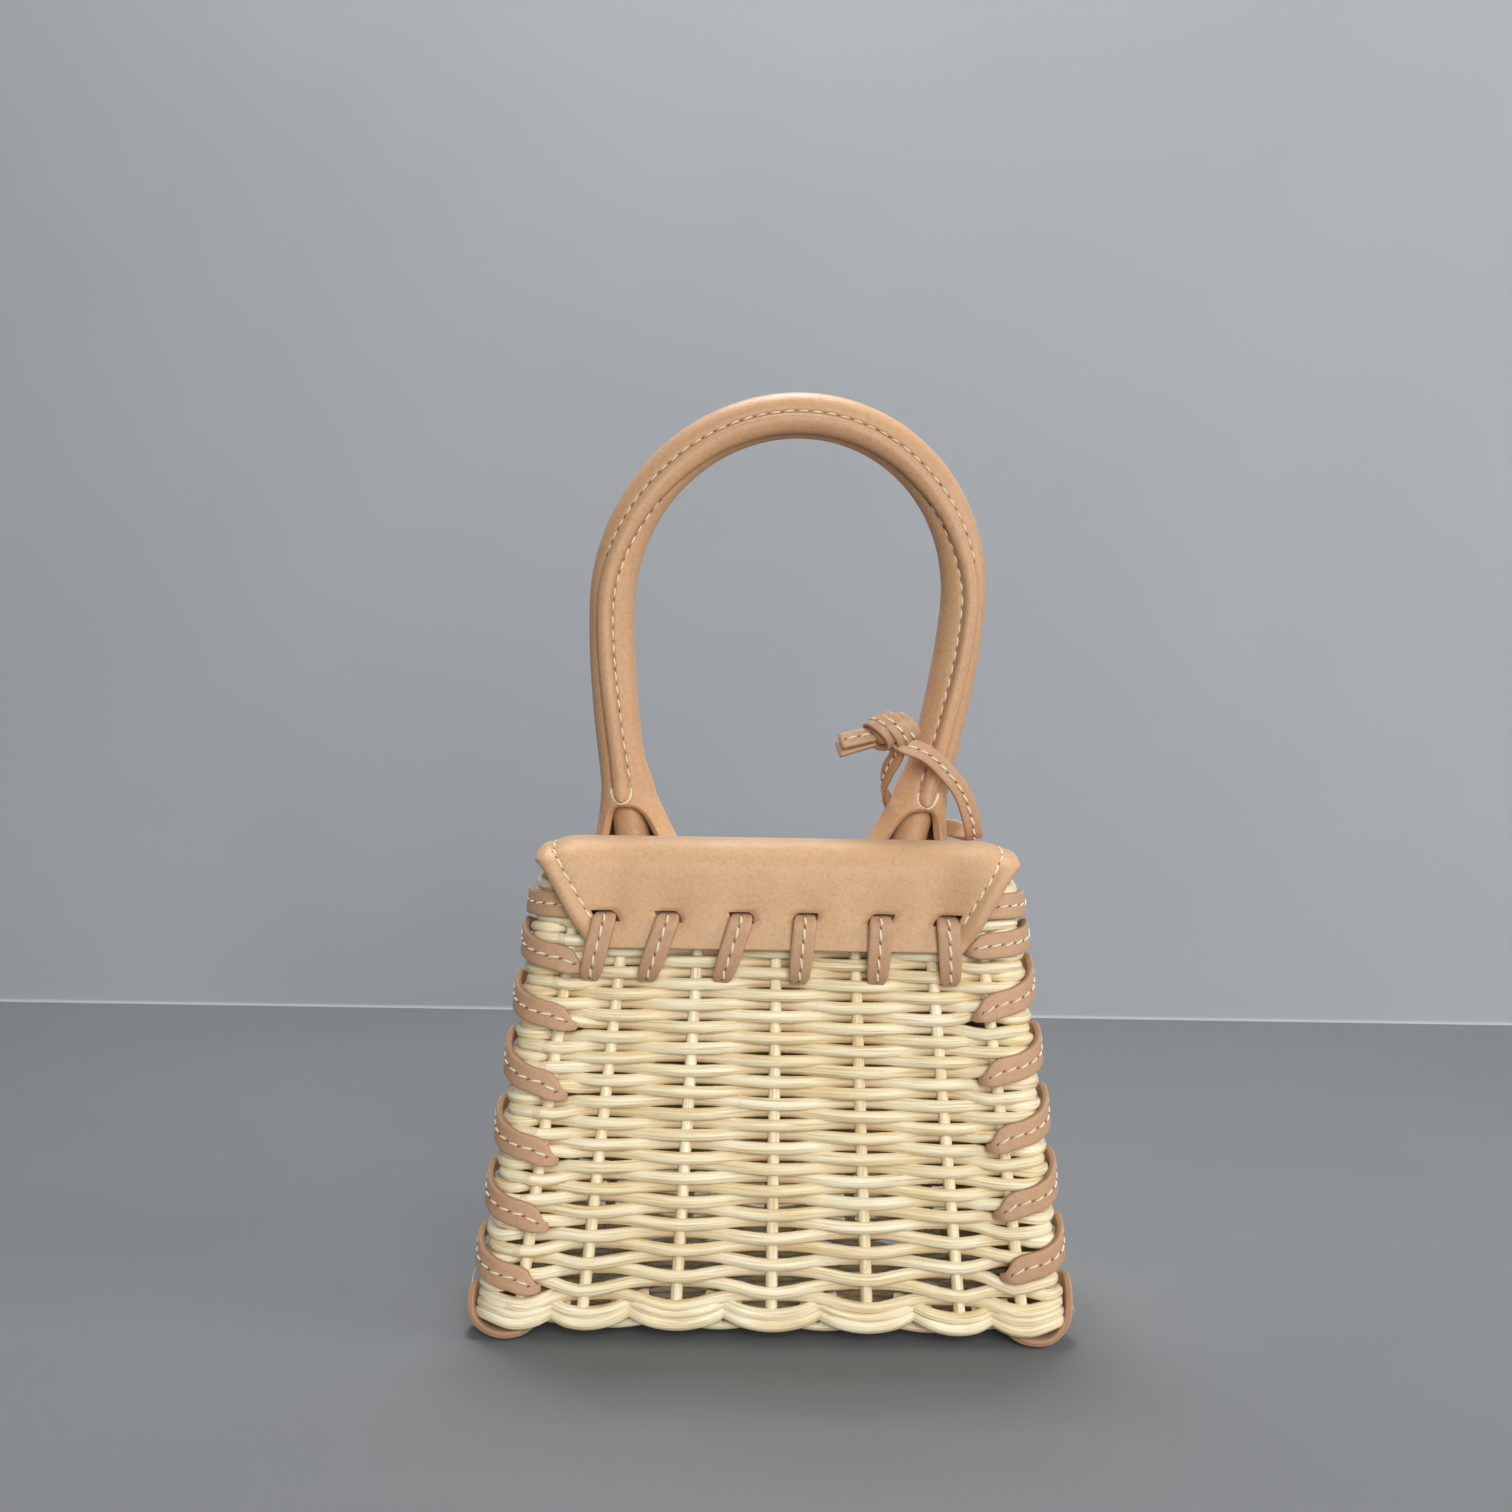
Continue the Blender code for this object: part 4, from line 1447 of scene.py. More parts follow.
    def foot_arcs(self, draft: Draft) -> None:
        """The scallops of the foot border: canes that hang round each stake, or round a corner with
        its two nearest stakes, and dive inwards between them.

        Args:
            draft: Where their paths go.
        """
        crests: list[tuple[float, bool]] = []
        for wall in range(4):
            stakes = self.body.stakes(wall)
            for low, high in zip(stakes, stakes[1:]):
                crests.append((self.distance(Spot(wall, (low + high) / 2)), high == stakes[-1]))
        total = self.around()
        for index, (start, corner) in enumerate(crests):
            end = crests[(index + 1) % len(crests)][0]
            end += total if end < start else 0.0
            over = self.arc_over
            count = self.arc_steps[corner]
            low = self.body.border_low + self.radius
            reach = self.arc_corner if corner else 0.5 * (end - start)
            for level in range(self.arc_levels[corner]):
                rise = self.arc_rise[0] - self.arc_rise[1] * level
                path = []
                for step in range(count + 1):
                    where = blend(start - over, end + over, step / count)
                    spot = self.spot_at(where)
                    beyond = min(where - start, end - where)
                    out = min(1.3, max(0.0, 1 - beyond / reach))
                    z = low + self.arc_pitch * level + self.body.lift(spot, low)
                    z += rise * (1 - math.cos(math.pi / 2 * out))
                    z += self.corner_rise(spot, z)
                    dive = max(0.0, 1 - (beyond + over) / (2.1 * over))
                    inset = self.radius + 0.15 * MM * level + self.arc_dive * smooth_step(dive)
                    # The outside value falls as the scallop dives in; the cane finish paints shade from it.
                    path.append((self.body.point(spot, z, inset), 1 - 1.6 * dive))
                self.loop(draft, path, closed=False)

    def build_borders(self) -> None:
        """The bundles of cane round the foot and round the rim."""
        foot = Draft()
        rim = Draft()
        rows = (
            (foot, 3.95 * MM, self.body.border_low + 2.4 * MM, 1.2 * MM),
            (rim, 1.5 * MM, 99.9 * MM, 0.0),
            (rim, 3.9 * MM, 99.7 * MM, 0.0),
            (rim, 2.7 * MM, 98.2 * MM, 0.0),
        )
        for draft, inset, height, rise in rows:
            path = []
            for spot in self.spots():
                z = height + self.body.lift(spot, height) + rise * self.scallop(spot)
                path.append((self.body.point(spot, z, inset), 0.8))
            self.loop(draft, path)
        self.foot_arcs(foot)
        self.cane(foot, "foot_canes", self.radius, 10, ("foot_border",))
        self.cane(rim, "rim_canes", self.radius, 10, ("rim_border",))

    def base_half(self, offset: float, reach: float, limit: float) -> float:
        """Half the length of a cane of the base, which has round corners.

        Args:
            offset: The cane's distance from the middle.
            reach: Half the base's length along the cane.
            limit: Half its length across the cane.

        Returns:
            Half the length there.
        """
        corner = self.base_corner
        inner = max(0.0, abs(offset) - (limit - corner))
        return reach - corner + math.sqrt(max(0.0, corner**2 - inner**2))

    def build_base(self) -> None:
        """The woven base: cross canes with fine weavers over and under them."""
        low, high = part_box("basket_base")
        middle = (low.z + high.z) / 2
        draft = Draft()
        gaps = self.base_cross - 1
        reach_x, reach_y = high.x, high.y
        first = -reach_x + self.base_ends
        for number in range(self.base_cross):
            x = blend(first, -first, number / gaps)
            half = self.base_half(x, reach_y, reach_x) - 0.4 * MM
            path = [(Vector((x, blend(-half, half, step / 12), middle)), 0.2) for step in range(13)]
            self.loop(draft, path, False)
        weavers = round(2 * reach_y / self.base_pitch)
        first_y = -reach_y + 1.1 * MM
        for number in range(weavers):
            y = blend(first_y, -first_y, number / (weavers - 1))
            half = self.base_half(y, reach_x, reach_y) - 0.5 * MM
            path = []
            for step in range(61):
                x = blend(-half, half, step / 60)
                phase = (x - first) / (-2 * first) * gaps
                swing = math.cos(math.pi * phase) * (1 if number % 2 else -1)
                path.append((Vector((x, y, middle + self.base_sway * swing)), 0.4))
            self.loop(draft, path, False)
        self.cane(draft, "woven_base", self.base_radius, 6, ("basket_base",))

    def build_fibres(self) -> None:
        """A few loose fibres that stand off the canes."""
        chance = random.Random(self.seed + 4)
        draft = Draft()
        for _ in range(self.fibres):
            wall = chance.choice((0, 0, 0, 1, 2, 2, 3))
            spot = Spot(wall, chance.uniform(-0.9, 0.9))
            height = chance.choice(self.fibre_heights) * MM + chance.uniform(-2, 2) * MM
            root = self.body.point(spot, height, 0.2 * MM)
            out = (self.body.point(spot, height, -MM) - root).normalized()
            side = out.cross(UP) * chance.uniform(-1, 1) + UP * chance.uniform(-0.7, 0.7)
            reach = chance.uniform(4, 9) * MM
            path = []
            for step in range(9):
                share = step / 8
                lift = out * (reach * 0.28 * math.sin(math.pi * 0.6 * share))
                point = root + side * (reach * share) + lift
                point.z = max(point.z, 0.3 * MM)
                path.append((point, 1.0))
            self.loop(draft, path, closed=False)
        self.cane(draft, "loose_fibres", self.fibre_radius, 4, ())

    def build(self) -> None:
        """Builds the whole body."""
        self.build_fibres()
        self.build_rows()
        self.build_stakes()
        self.build_borders()
        self.build_base()


# The corner laces and the cover's straps


@dataclass
class Laces:
    """The laces that wind round the four corners and under them."""

    body: Body
    palette: Palette
    tree: Tree
    width: float = 5.6 * MM
    thickness: float = 1.5 * MM
    clearance: float = 0.05 * MM
    bend: float = 1.4 * MM
    arc_step: float = 30.0
    hole_half: float = 0.9 * MM
    fallen: tuple[float, ...] = (0.27, 0.45, 0.60, 0.71)
    first_rise: float = 2.2 * MM
    first_dip: float = 1.2 * MM

    def turn(self, high: float, low: float, end: float) -> list[tuple]:
        """One turn, from the side wall's hole round the outside to the long wall's and back inside.

        Args:
            high: Height of the side wall's hole.
            low: Height of the long wall's hole.
            end: Height of the side wall's next hole.

        Returns:
            Rows of (inset from the side, inset from the long wall, height, outward side there, half
            the width, whether the sewn line shows, drop of the section to its lower edge).
        """
        off = self.clearance + self.thickness / 2
        bend = self.bend
        inside = self.body.wall + 1.3 * MM + off
        corner = self.body.corner_radius
        drop = high - low
        full = self.width / 2
        small = self.hole_half
        long_in, side_in = self.body.long_hole, self.body.side_hole
        rows = [(-off, side_in - bend, high - 0.05 * drop, (-1, 0), 0.82 * full, True, 0.0)]
        for number, fallen in enumerate(self.fallen):
            angle = math.radians(self.arc_step * number)
            radius = corner + off
            out = (-math.cos(angle), -math.sin(angle))
            height = high - fallen * drop
            inset = (corner + radius * out[0], corner + radius * out[1])
            rows.append((*inset, height, out, full, True, 0.0))
        dive = (
            (-1.7 * MM, -off, 0.23, (0, -1), 0.96, True, 0.0),
            (-0.5 * MM, -off, 0.18, (0.05, -1), 0.78, True, 0.08),
            (0.8 * MM, 0.3 * MM - off, 0.13, (0.3, -1), 0.42, False, 0.16),
            (1.4 * MM, 1.6 * MM, 0.07, (1, -0.3), 0.24, False, 0.1),
        )
        for past, inset, above, out, half, sewn, shift in dive:
            height = low + above * drop
            rows.append((long_in + past, inset, height, out, half * full, sewn, shift * full))
        rows += [
            (long_in, inside - bend, low, (1, 0), small, False, 0.0),
            (long_in - bend, inside + 0.3 * bend, low, (1, 1), full, False, 0.0),
            (inside + 0.3 * bend, side_in - bend, end, (1, 1), full, False, 0.0),
            (inside - bend, side_in, end, (0, 1), small, False, 0.0),
            (0.9 * bend - off, side_in, end, (-0.5, 0.8), small, False, 0.0),
        ]
        return rows

    def foot(self, start: float) -> list[tuple]:
        """The last run: down the side wall, round the foot border and flat under the corner.

        Args:
            start: Height that it starts from.

        Returns:
            Rows as in a turn.
        """
        full = self.width / 2
        rows = (
            (-0.85, 10.4, start - 0.3 * MM, (-1, 0, 0), 0.9),
            (-0.9, 9.1, 0.8 * start, (-1, 0, 0), 1.0),
            (-0.6, 7.9, 0.62 * start, (-1, -0.1, -0.1), 1.0),
            (0.1, 6.9, 0.44 * start, (-1, -0.2, -0.4), 1.0),
            (1.3, 6.0, 0.28 * start + 0.4 * MM, (-0.9, -0.2, -0.8), 1.0),
            (3.1, 5.2, 0.12 * start + 0.9 * MM, (-0.5, -0.2, -1), 1.0),
            (5.4, 4.5, 1.3 * MM, (-0.2, -0.12, -1), 1.0),
            (8.0, 4.2, 1.1 * MM, (0, -0.08, -1), 0.95),
            (10.6, 4.4, 1.45 * MM, (0.2, -0.05, -1), 0.8),
            (12.6, 5.0, 2.4 * MM, (0.5, 0, -0.8), 0.6),
            (13.6, 5.6, 3.8 * MM, (0.9, 0, -0.4), 0.4),
        )
        return [(u * MM, v * MM, z, out, half * full, True, 0.0) for u, v, z, out, half in rows]

    def stations(self, side: Side, face: Face) -> list[Station]:
        """The stations of one corner's lace.

        Args:
            side: The end of the bag.
            face: The long wall.

        Returns:
            Its stations from the rim down.
        """
        lean = (self.body.base_width - self.body.rim_width) / 2 / self.body.rim_height
        long_holes, side_holes = self.body.holes(side)
        long_holes[0] += self.first_rise
        side_holes[0] -= self.first_dip
        rows = self.turn(side_holes[0], side_holes[0], side_holes[0])[-3:]
        for number, low in enumerate(long_holes):
            rows += self.turn(side_holes[number], low, side_holes[number + 1])
        rows += self.foot(side_holes[-1])
        found = []
        for u, v, height, out, half, sewn, shift in rows:
            half_width, half_depth = self.body.half(height)
            point = Vector((side.value * (half_width - u), face.value * (half_depth - v), height))
            up = out[2] if len(out) == 3 else lean
            facing = Vector((-side.value * out[0], -face.value * out[1], up))
            found.append(Station(point, facing, half, self.thickness / 2, sewn, shift))
        return found

    def build(self) -> None:
        """Builds the four laces with their stitches."""
        seam = Seam()
        for side in Side:
            for face in Face:
                corner = f"{side.name}_{face.name}".lower()
                strap = Strap(f"laced_corner_{corner}", (f"corner_lace_{corner}",), self.palette)
                strap.build(self.stations(side, face), 1.1 * MM, seam)
        seam.finish("corner_lace", Slot.LACE, self.tree, self.palette)


@dataclass
class CoverStraps:
    """The straps that lace the cover's edge to the wall."""

    body: Body
    palette: Palette
    tree: Tree
    places: Table = (
        (-0.696, -0.759),
        (-0.439, -0.528),
        (-0.143, -0.222),
        (0.114, 0.092),
        (0.420, 0.409),
        (0.690, 0.708),
    )
    half_width: float = 52.6 * MM
    edge: float = 83.0 * MM
    slot: float = 89.8 * MM
    hole: float = 76.4 * MM
    width: float = 5.0 * MM
    thickness: float = 1.5 * MM
    on_cover: float = 3.25 * MM
    bend: float = 1.4 * MM

    def across(self, upper: float, lower: float, height: float) -> float:
        """Place along X of a strap's middle.

        Args:
            upper: Share of half the width at its slot.
            lower: Share of half the width at its hole.
            height: Where on the strap.

        Returns:
            Its X there.
        """
        share = (height - self.hole) / (self.slot - self.hole)
        return blend(lower, upper, share) * self.half_width

    def stations(self, upper: float, lower: float) -> list[Station]:
        """The stations of one strap's loop.

        Args:
            upper: Share of half the width at its slot.
            lower: Share of half the width at its hole.

        Returns:
            Its stations in order.
        """
        bend = self.bend
        on_weave = 0.85 * MM
        inside = -(self.body.wall + 1.9 * MM)
        full = self.width / 2
        outside = self.on_cover
        loop = (
            (self.slot, outside - 1.3 * bend, (0, -0.3, 1), 0.92 * full, True),
            (self.slot - 0.8 * bend, outside + 0.05 * MM, (0, -1, 0.3), full, True),
            (self.edge + 1.8 * bend, outside + 0.1 * MM, (0, -1, 0), full, True),
            (self.edge - 0.6 * bend, outside - 0.35 * MM, (0, -1, -0.15), full, True),
            (self.hole + 1.2 * bend, on_weave + 0.3 * bend, (0, -1, -0.35), 0.92 * full, True),
            (self.hole, on_weave - 1.3 * bend, (0, -0.6, -1), 0.72 * full, False),
            (self.hole, inside + bend, (0, 0.3, -1), 0.72 * full, False),
            (self.hole + bend, inside, (0, 1, 0), full, False),
            (self.slot - bend, inside, (0, 1, 0), full, False),
            (self.slot, inside + bend, (0, 0.3, 1), full, False),
        )
        found = []
        for height, out, hint, half, sewn in loop:
            across = self.across(upper, lower, height)
            point = Vector((across, -(self.body.half(height)[1] + out), height))
            found.append(Station(point, Vector(hint), half, self.thickness / 2, sewn))
        return found

    def build(self) -> None:
        """Builds the six straps with their stitches."""
        seam = Seam()
        for number, (upper, lower) in enumerate(self.places, 1):
            strap = Strap(f"laced_strap_{number}", (f"cover_strap_{number}",), self.palette, True)
            strap.build(self.stations(upper, lower), 0.9 * MM, seam, 0.4 * MM)
        seam.finish("cover_strap", Slot.LACE, self.tree, self.palette)


# The leather cover


@dataclass(frozen=True)
class CoverRow:
    """One row across the cover: its middle line, the outward direction, half the width, the length
    from the lower front edge, how much the sides lift and droop there."""

    y: float
    z: float
    out: Vector
    half: float
    from_end: float
    lift: float
    droop: float


@dataclass
class Cover:
    """The leather sheet from the laced wall over the top and down the other long wall."""

    body: Body
    palette: Palette
    tree: Tree
    straps: CoverStraps
    thickness: float = 2 * MM
    gap: float = 0.5 * MM
    bend: float = 7.5 * MM
    crown: float = 105.3 * MM
    sag: float = 1.5 * MM
    back_edge: float = 83.0 * MM
    front_edge: float = 39.8 * MM
    half_width: float = 52.6 * MM
    back_taper: Table = (
        (0.0, 0.758), (0.15, 0.798), (0.3, 0.834), (0.6, 0.902), (0.85, 0.960), (0.95, 0.982),
        (1.0, 0.990),
    )
    taper_top: float = 102.6 * MM
    front_taper: Table = (
        (0.0, 0.690), (0.4, 0.705), (0.7, 0.77), (0.78, 0.82), (0.86, 0.88), (1.0, 0.988),
    )
    round_end: float = 14 * MM
    crown_lift: float = 0.7 * MM
    crown_drop: float = 2.5 * MM
    knee: float = 34.0 * MM
    knee_run: float = 12.0 * MM
    knee_lift: float = 2.0 * MM
    droop: float = 3.6 * MM
    droop_run: float = 9 * MM
    seam_inset: float = 4.2 * MM
    slot_half: tuple[float, float] = (2.75 * MM, 1.15 * MM)
    dimple: float = 0.7 * MM
    dimple_reach: float = 3.0 * MM
    pull_reach: tuple[float, float] = (4 * MM, 5 * MM)
    stand_off: float = 0.22 * MM
    lean_from: float = 88 * MM
    lean_run: float = 13 * MM
    lean_depth: float = 46 * MM
    edge_steps: tuple[float, ...] = (0.0, 0.12, 0.45, 1.0, 2.0, 3.0, 4.0)
    band: float = 5.0
    bead: Table = (
        (0.0, 0.0), (0.15, 0.55), (0.4, 0.9), (0.75, 1.18), (1.2, 1.38), (1.8, 1.46), (2.4, 1.42),
        (3.0, 1.26), (3.5, 1.02), (4.2, 0.76), (4.8, 0.92), (5.4, 1.0),
    )

    def off_wall(self, height: float) -> float:
        """Distance of the sheet's middle from the bag's middle, against a long wall."""
        return self.body.half(height)[1] + self.gap + self.thickness / 2

    def back_half(self, height: float) -> float:
        """Share of half the width on the laced wall and over its shoulder."""
        return from_table(self.back_taper, (height - self.back_edge) / (self.taper_top - self.back_edge))

    def rows(self) -> list[CoverRow]:
        """The rows from the laced edge over the top to the other edge.

        Returns:
            The rows in order.
        """
        shoulder = self.crown - self.bend
        slot, tall = self.straps.slot, self.slot_half[1]
        line: list[tuple[float, float, float, float, float]] = []
        heights = [self.back_edge + step * MM for step in self.edge_steps]
        heights += [slot + tall * share for share in (-1, -0.5, 0, 0.5, 1)]
        heights += [blend(slot + tall + MM, shoulder, step / 8) for step in range(9)]
        for z in heights:
            share = (z - self.back_edge) / (shoulder - self.back_edge)
            rise = smooth_step((share - 0.05) / 0.35)
            line.append((-self.off_wall(z), z, self.back_half(z), rise, 0.0))
        flat = self.off_wall(shoulder) - self.bend
        for angle in range(9, 90, 9):
            turn = math.radians(angle)
            y = -flat - self.bend * math.cos(turn)
            z = shoulder + self.bend * math.sin(turn)
            line.append((y, z, self.back_half(z), math.cos(turn) ** 2, smooth_step(angle / 55)))
        for step in range(25):
            share = step / 12 - 1
            z = self.crown - self.sag * (1 - share * share)
            line.append((share * flat, z, 0.992 - 0.012 * (1 - share * share), 0.0, 1.0))
        for angle in range(81, 0, -9):
            turn = math.radians(angle)
            y = flat + self.bend * math.cos(turn)
            z = shoulder + self.bend * math.sin(turn)
            line.append((y, z, 0.988 + 0.004 * angle / 90, math.cos(turn) ** 2, smooth_step(angle / 55)))
        heights = [self.front_edge + place * MM for place, _ in self.bead]
        heights += [self.front_edge + step * MM for step in (6.4, 7.6)]
        heights += [blend(self.front_edge + 9 * MM, shoulder, step / 38) for step in range(39)]
        for z in reversed(heights):
            share = (z - self.front_edge) / (shoulder - self.front_edge)
            rise = smooth_step((share - 0.02) / 0.2)
            line.append((self.off_wall(z), z, from_table(self.front_taper, share), rise, 0.0))
        lengths = [0.0]
        for (y, z, *_), (next_y, next_z, *_) in zip(line, line[1:]):
            lengths.append(lengths[-1] + math.hypot(next_y - y, next_z - z))
        found = []
        for index, (y, z, width, rise, droop) in enumerate(line):
            before, after = neighbours(line, index)
            run = Vector((0, after[0] - before[0], after[1] - before[1])).normalized()
            out = Vector((0, -run.z, run.y))
            from_end = lengths[-1] - lengths[index]
            half = width * self.half_width
            if from_end < self.round_end:
                drop = 1 - from_end / self.round_end
                half -= self.round_end * (1 - math.sqrt(max(0.0, 1 - drop * drop)))
            found.append(CoverRow(y, z, out, half, from_end, rise, droop))
        return found

    def end_corner(self) -> float:
        """Place along X where the round corners of the lower front edge begin."""
        return from_table(self.front_taper, 0.1) * self.half_width - self.round_end

    def edge_distance(self, row: CoverRow, x: float) -> float:
        """Distance to the nearest of the two side edges and the lower front edge.

        Args:
            row: A row across the cover.
            x: A place along it.

        Returns:
            The distance.
        """
        inner = abs(x) - self.end_corner()
        if row.from_end < self.round_end and inner > 0:
            reach = self.round_end - math.hypot(inner, self.round_end - row.from_end)
            return max(0.0, reach)
        return max(0.0, min(row.half - abs(x), row.from_end))

    def middle(self, row: CoverRow, x: float) -> Vector:
        """The middle of the sheet's thickness.

        Args:
            row: A row across the cover.
            x: A place along it.

        Returns:
            The point there, with the lifts, the droops and the dimples.
        """
        side = smooth_step((abs(x) - self.knee) / self.knee_run)
        point = Vector((x, row.y, row.z)) + row.out * (self.knee_lift * side * row.lift)
        high = smooth_step((row.z - self.lean_from) / self.lean_run)
        back = min(1.0, max(0.0, 0.5 + row.y / self.lean_depth))
        point.z += high * blend(self.crown_lift, -self.crown_drop, back)
        near = max(0.0, 1 - (row.half - abs(x)) / self.droop_run)
        point.z -= self.droop * near * near * row.droop
        if row.y < 0 and row.droop < 0.5:
            pull = 0.0
            for upper, lower in self.straps.places:
                across = x - self.straps.across(upper, lower, row.z)
                off = row.z - self.straps.slot
                pull += self.dimple * math.exp(-(across**2 + off**2) / (2 * self.dimple_reach**2))
                low = row.z - self.back_edge
                wide, tall = self.pull_reach
                pull += 0.5 * self.dimple * math.exp(-((across / wide) ** 2) - low / tall)
            point -= row.out * pull
            point += row.out * self.stand_off
        return point

    def across(self, row: CoverRow, slot_row: CoverRow) -> list[float]:
        """Places across a row: fixed distances from the edges, shares between them.

        Args:
            row: The row.
            slot_row: The row at the slots, which sets the shares.

        Returns:
            The places from left to right.
        """
        band = [place * MM for place, _ in self.bead if place < self.band]
        inner = self.band * MM
        marks = set()
        for upper, _ in self.straps.places:
            centre = upper * self.half_width
            for share in (-1, -0.5, 0, 0.5, 1):
                marks.add((centre + share * self.slot_half[0]) / (slot_row.half - inner))
        ordered = sorted(marks | {-1.0, 1.0})
        shares = []
        for low, high in zip(ordered, ordered[1:]):
            pieces = max(1, round((high - low) * (slot_row.half - inner) / (1.5 * MM)))
            shares += [blend(low, high, piece / pieces) for piece in range(pieces)]
        shares.append(1.0)
        middle = [share * max(0.0, row.half - inner) for share in shares]
        left = [-(row.half - min(row.half, place)) for place in band]
        return left + middle + [-x for x in reversed(left)]

    def surface(self, row: CoverRow, x: float) -> tuple[Vector, Vector, float]:
        """Both faces of the sheet.

        Args:
            row: A row across the cover.
            x: A place along it.

        Returns:
            The outer point, the inner point, and how raw the edge is.
        """
        distance = self.edge_distance(row, x)
        middle = self.middle(row, x)
        step = 0.4 * MM
        run = self.middle(row, x + step) - self.middle(row, x - step)
        out = (row.out - run * (row.out.dot(run) / run.length_squared)).normalized()
        outer = from_table(self.bead, distance / MM) * MM
        inner = min(outer * 0.95, 1.15 * MM) if distance < 3.2 * MM else MM
        raw = 0.0
        low = row.z - self.back_edge
        if row.y < 0 and low < 0.4 * MM:
            trim = blend(0.82, 1.0, min(1.0, low / (0.12 * MM)))
            outer, inner, raw = outer * trim, inner * trim, 1.0 if low < 0.05 * MM else 0.35
        return middle + out * outer, middle - out * inner, raw

    def build_sheet(self) -> None:
        """The sheet with its rolled sides and its slots."""
        rows = self.rows()
        slot_row = min(
            (row for row in rows if row.y < 0 and row.droop == 0), key=lambda r: abs(r.z - self.straps.slot)
        )
        draft = Draft()
        outer: list[list[int]] = []
        inner: list[list[int]] = []
        places: list[list[float]] = []
        wide, tall = self.slot_half
        centres = [upper * self.half_width for upper, _ in self.straps.places]
        for row in rows:
            outer.append([])
            inner.append([])
            places.append(self.across(row, slot_row))
            for x in places[-1]:
                if row.y < 0 and abs(row.z - self.straps.slot) < tall * 1.01 and row.droop == 0:
                    x = self.round_slot(x, row, centres)
                top, under, raw = self.surface(row, x)
                outer[-1].append(draft.add(top, edge=raw))
                inner[-1].append(draft.add(under, edge=max(raw, 0.5)))
        count = len(places[0])
        open_cells = set()
        for index in range(len(rows) - 1):
            row, after = rows[index], rows[index + 1]
            if row.y > 0 or row.droop > 0:
                break
            middle = (row.z + after.z) / 2
            if abs(middle - self.straps.slot) > tall:
                continue
            for step in range(count - 1):
                x = (places[index][step] + places[index][step + 1]) / 2
                if any(abs(x - centre) < wide * 0.99 for centre in centres):
                    open_cells.add((index, step))
        for index in range(len(rows) - 1):
            for step in range(count - 1):
                if (index, step) in open_cells:
                    self.wall_slot(draft, outer, inner, index, step, open_cells)
                    continue
                for side in (outer, inner):
                    draft.faces.append((
                        side[index][step], side[index][step + 1],
                        side[index + 1][step + 1], side[index + 1][step],
                    ))
        draft.skin([outer[0], inner[0]], around=False)
        mesh = draft.mesh("cover_sheet", merge=0.002 * MM)
        place_piece("cover_sheet", mesh, ("cover",), self.palette.cover)

    def round_slot(self, x: float, row: CoverRow, centres: list[float]) -> float:
        """Narrows a slot towards its top and bottom rows, so that its corners are round.

        Args:
            x: A place across the row.
            row: The row.
            centres: Middles of the slots.

        Returns:
            The place, moved where it is on a slot.
        """
        wide, tall = self.slot_half
        up = abs(row.z - self.straps.slot) / tall
        for centre in centres:
            across = (x - centre) / wide
            if abs(across) < 1.02:
                return centre + wide * across * (1 - 0.4 * up**2)
        return x

    def wall_slot(
        self,
        draft: Draft,
        outer: list[list[int]],
        inner: list[list[int]],
        index: int,
        step: int,
        open_cells: set[tuple[int, int]],
    ) -> None:
        """Closes the cut through the sheet along the sides of an open cell.

        Args:
            draft: Where the faces go.
            outer: Rows of the outer points.
            inner: Rows of the inner points.
            index: The cell's row.
            step: Its place in the row.
            open_cells: All the open cells.
        """
        corners = {
            (-1, 0): ((index, step), (index, step + 1)),
            (1, 0): ((index + 1, step + 1), (index + 1, step)),
            (0, -1): ((index + 1, step), (index, step)),
            (0, 1): ((index, step + 1), (index + 1, step + 1)),
        }
        for (down, beside), (first, second) in corners.items():
            if (index + down, step + beside) not in open_cells:
                draft.faces.append((
                    outer[first[0]][first[1]], outer[second[0]][second[1]],
                    inner[second[0]][second[1]], inner[first[0]][first[1]],
                ))

    def seam_spot(self, row: CoverRow, x: float) -> tuple[Vector, Vector]:
        """A place on the outer face and the outward direction there."""
        top, under, _ = self.surface(row, x)
        return top, (top - under).normalized()

    def build_seam(self) -> None:
        """The sewn line inside the rolled sides and along the lower front edge."""
        rows = self.rows()
        seam = Seam()
        inset = self.seam_inset
        sides = [row for row in rows if row.from_end >= self.round_end][1:]
        low_rows = [row for row in rows if row.from_end < self.round_end]
        radius = self.round_end - inset
        corner = []
        for angle in range(0, 91, 10):
            turn = math.radians(angle)
            from_end = self.round_end - radius * math.sin(turn)
            nearest = min(low_rows, key=lambda row: abs(row.from_end - from_end))
            corner.append((self.end_corner() + radius * math.cos(turn), nearest))
        line = [self.seam_spot(row, inset - row.half) for row in sides]
        line += [self.seam_spot(row, -x) for x, row in corner]
        line += [self.seam_spot(row, x) for x, row in reversed(corner)]
        line += [self.seam_spot(row, row.half - inset) for row in reversed(sides)]
        seam.follow(line, 0.5 * MM)
        for end in (line[:4], line[-4:]):
            seam.follow(end, 0.0)
        seam.finish("cover", Slot.COVER, self.tree, self.palette)

    def build(self) -> None:
        """Builds the cover and its seam."""
        self.build_sheet()
        self.build_seam()


# The handle


@dataclass(frozen=True)
class Ring:
    """A place on the handle's middle line, with the direction along it, the direction to the
    inside of its bend, and the share of the way up."""

    point: Vector
    along: Vector
    inner: Vector
    share: float


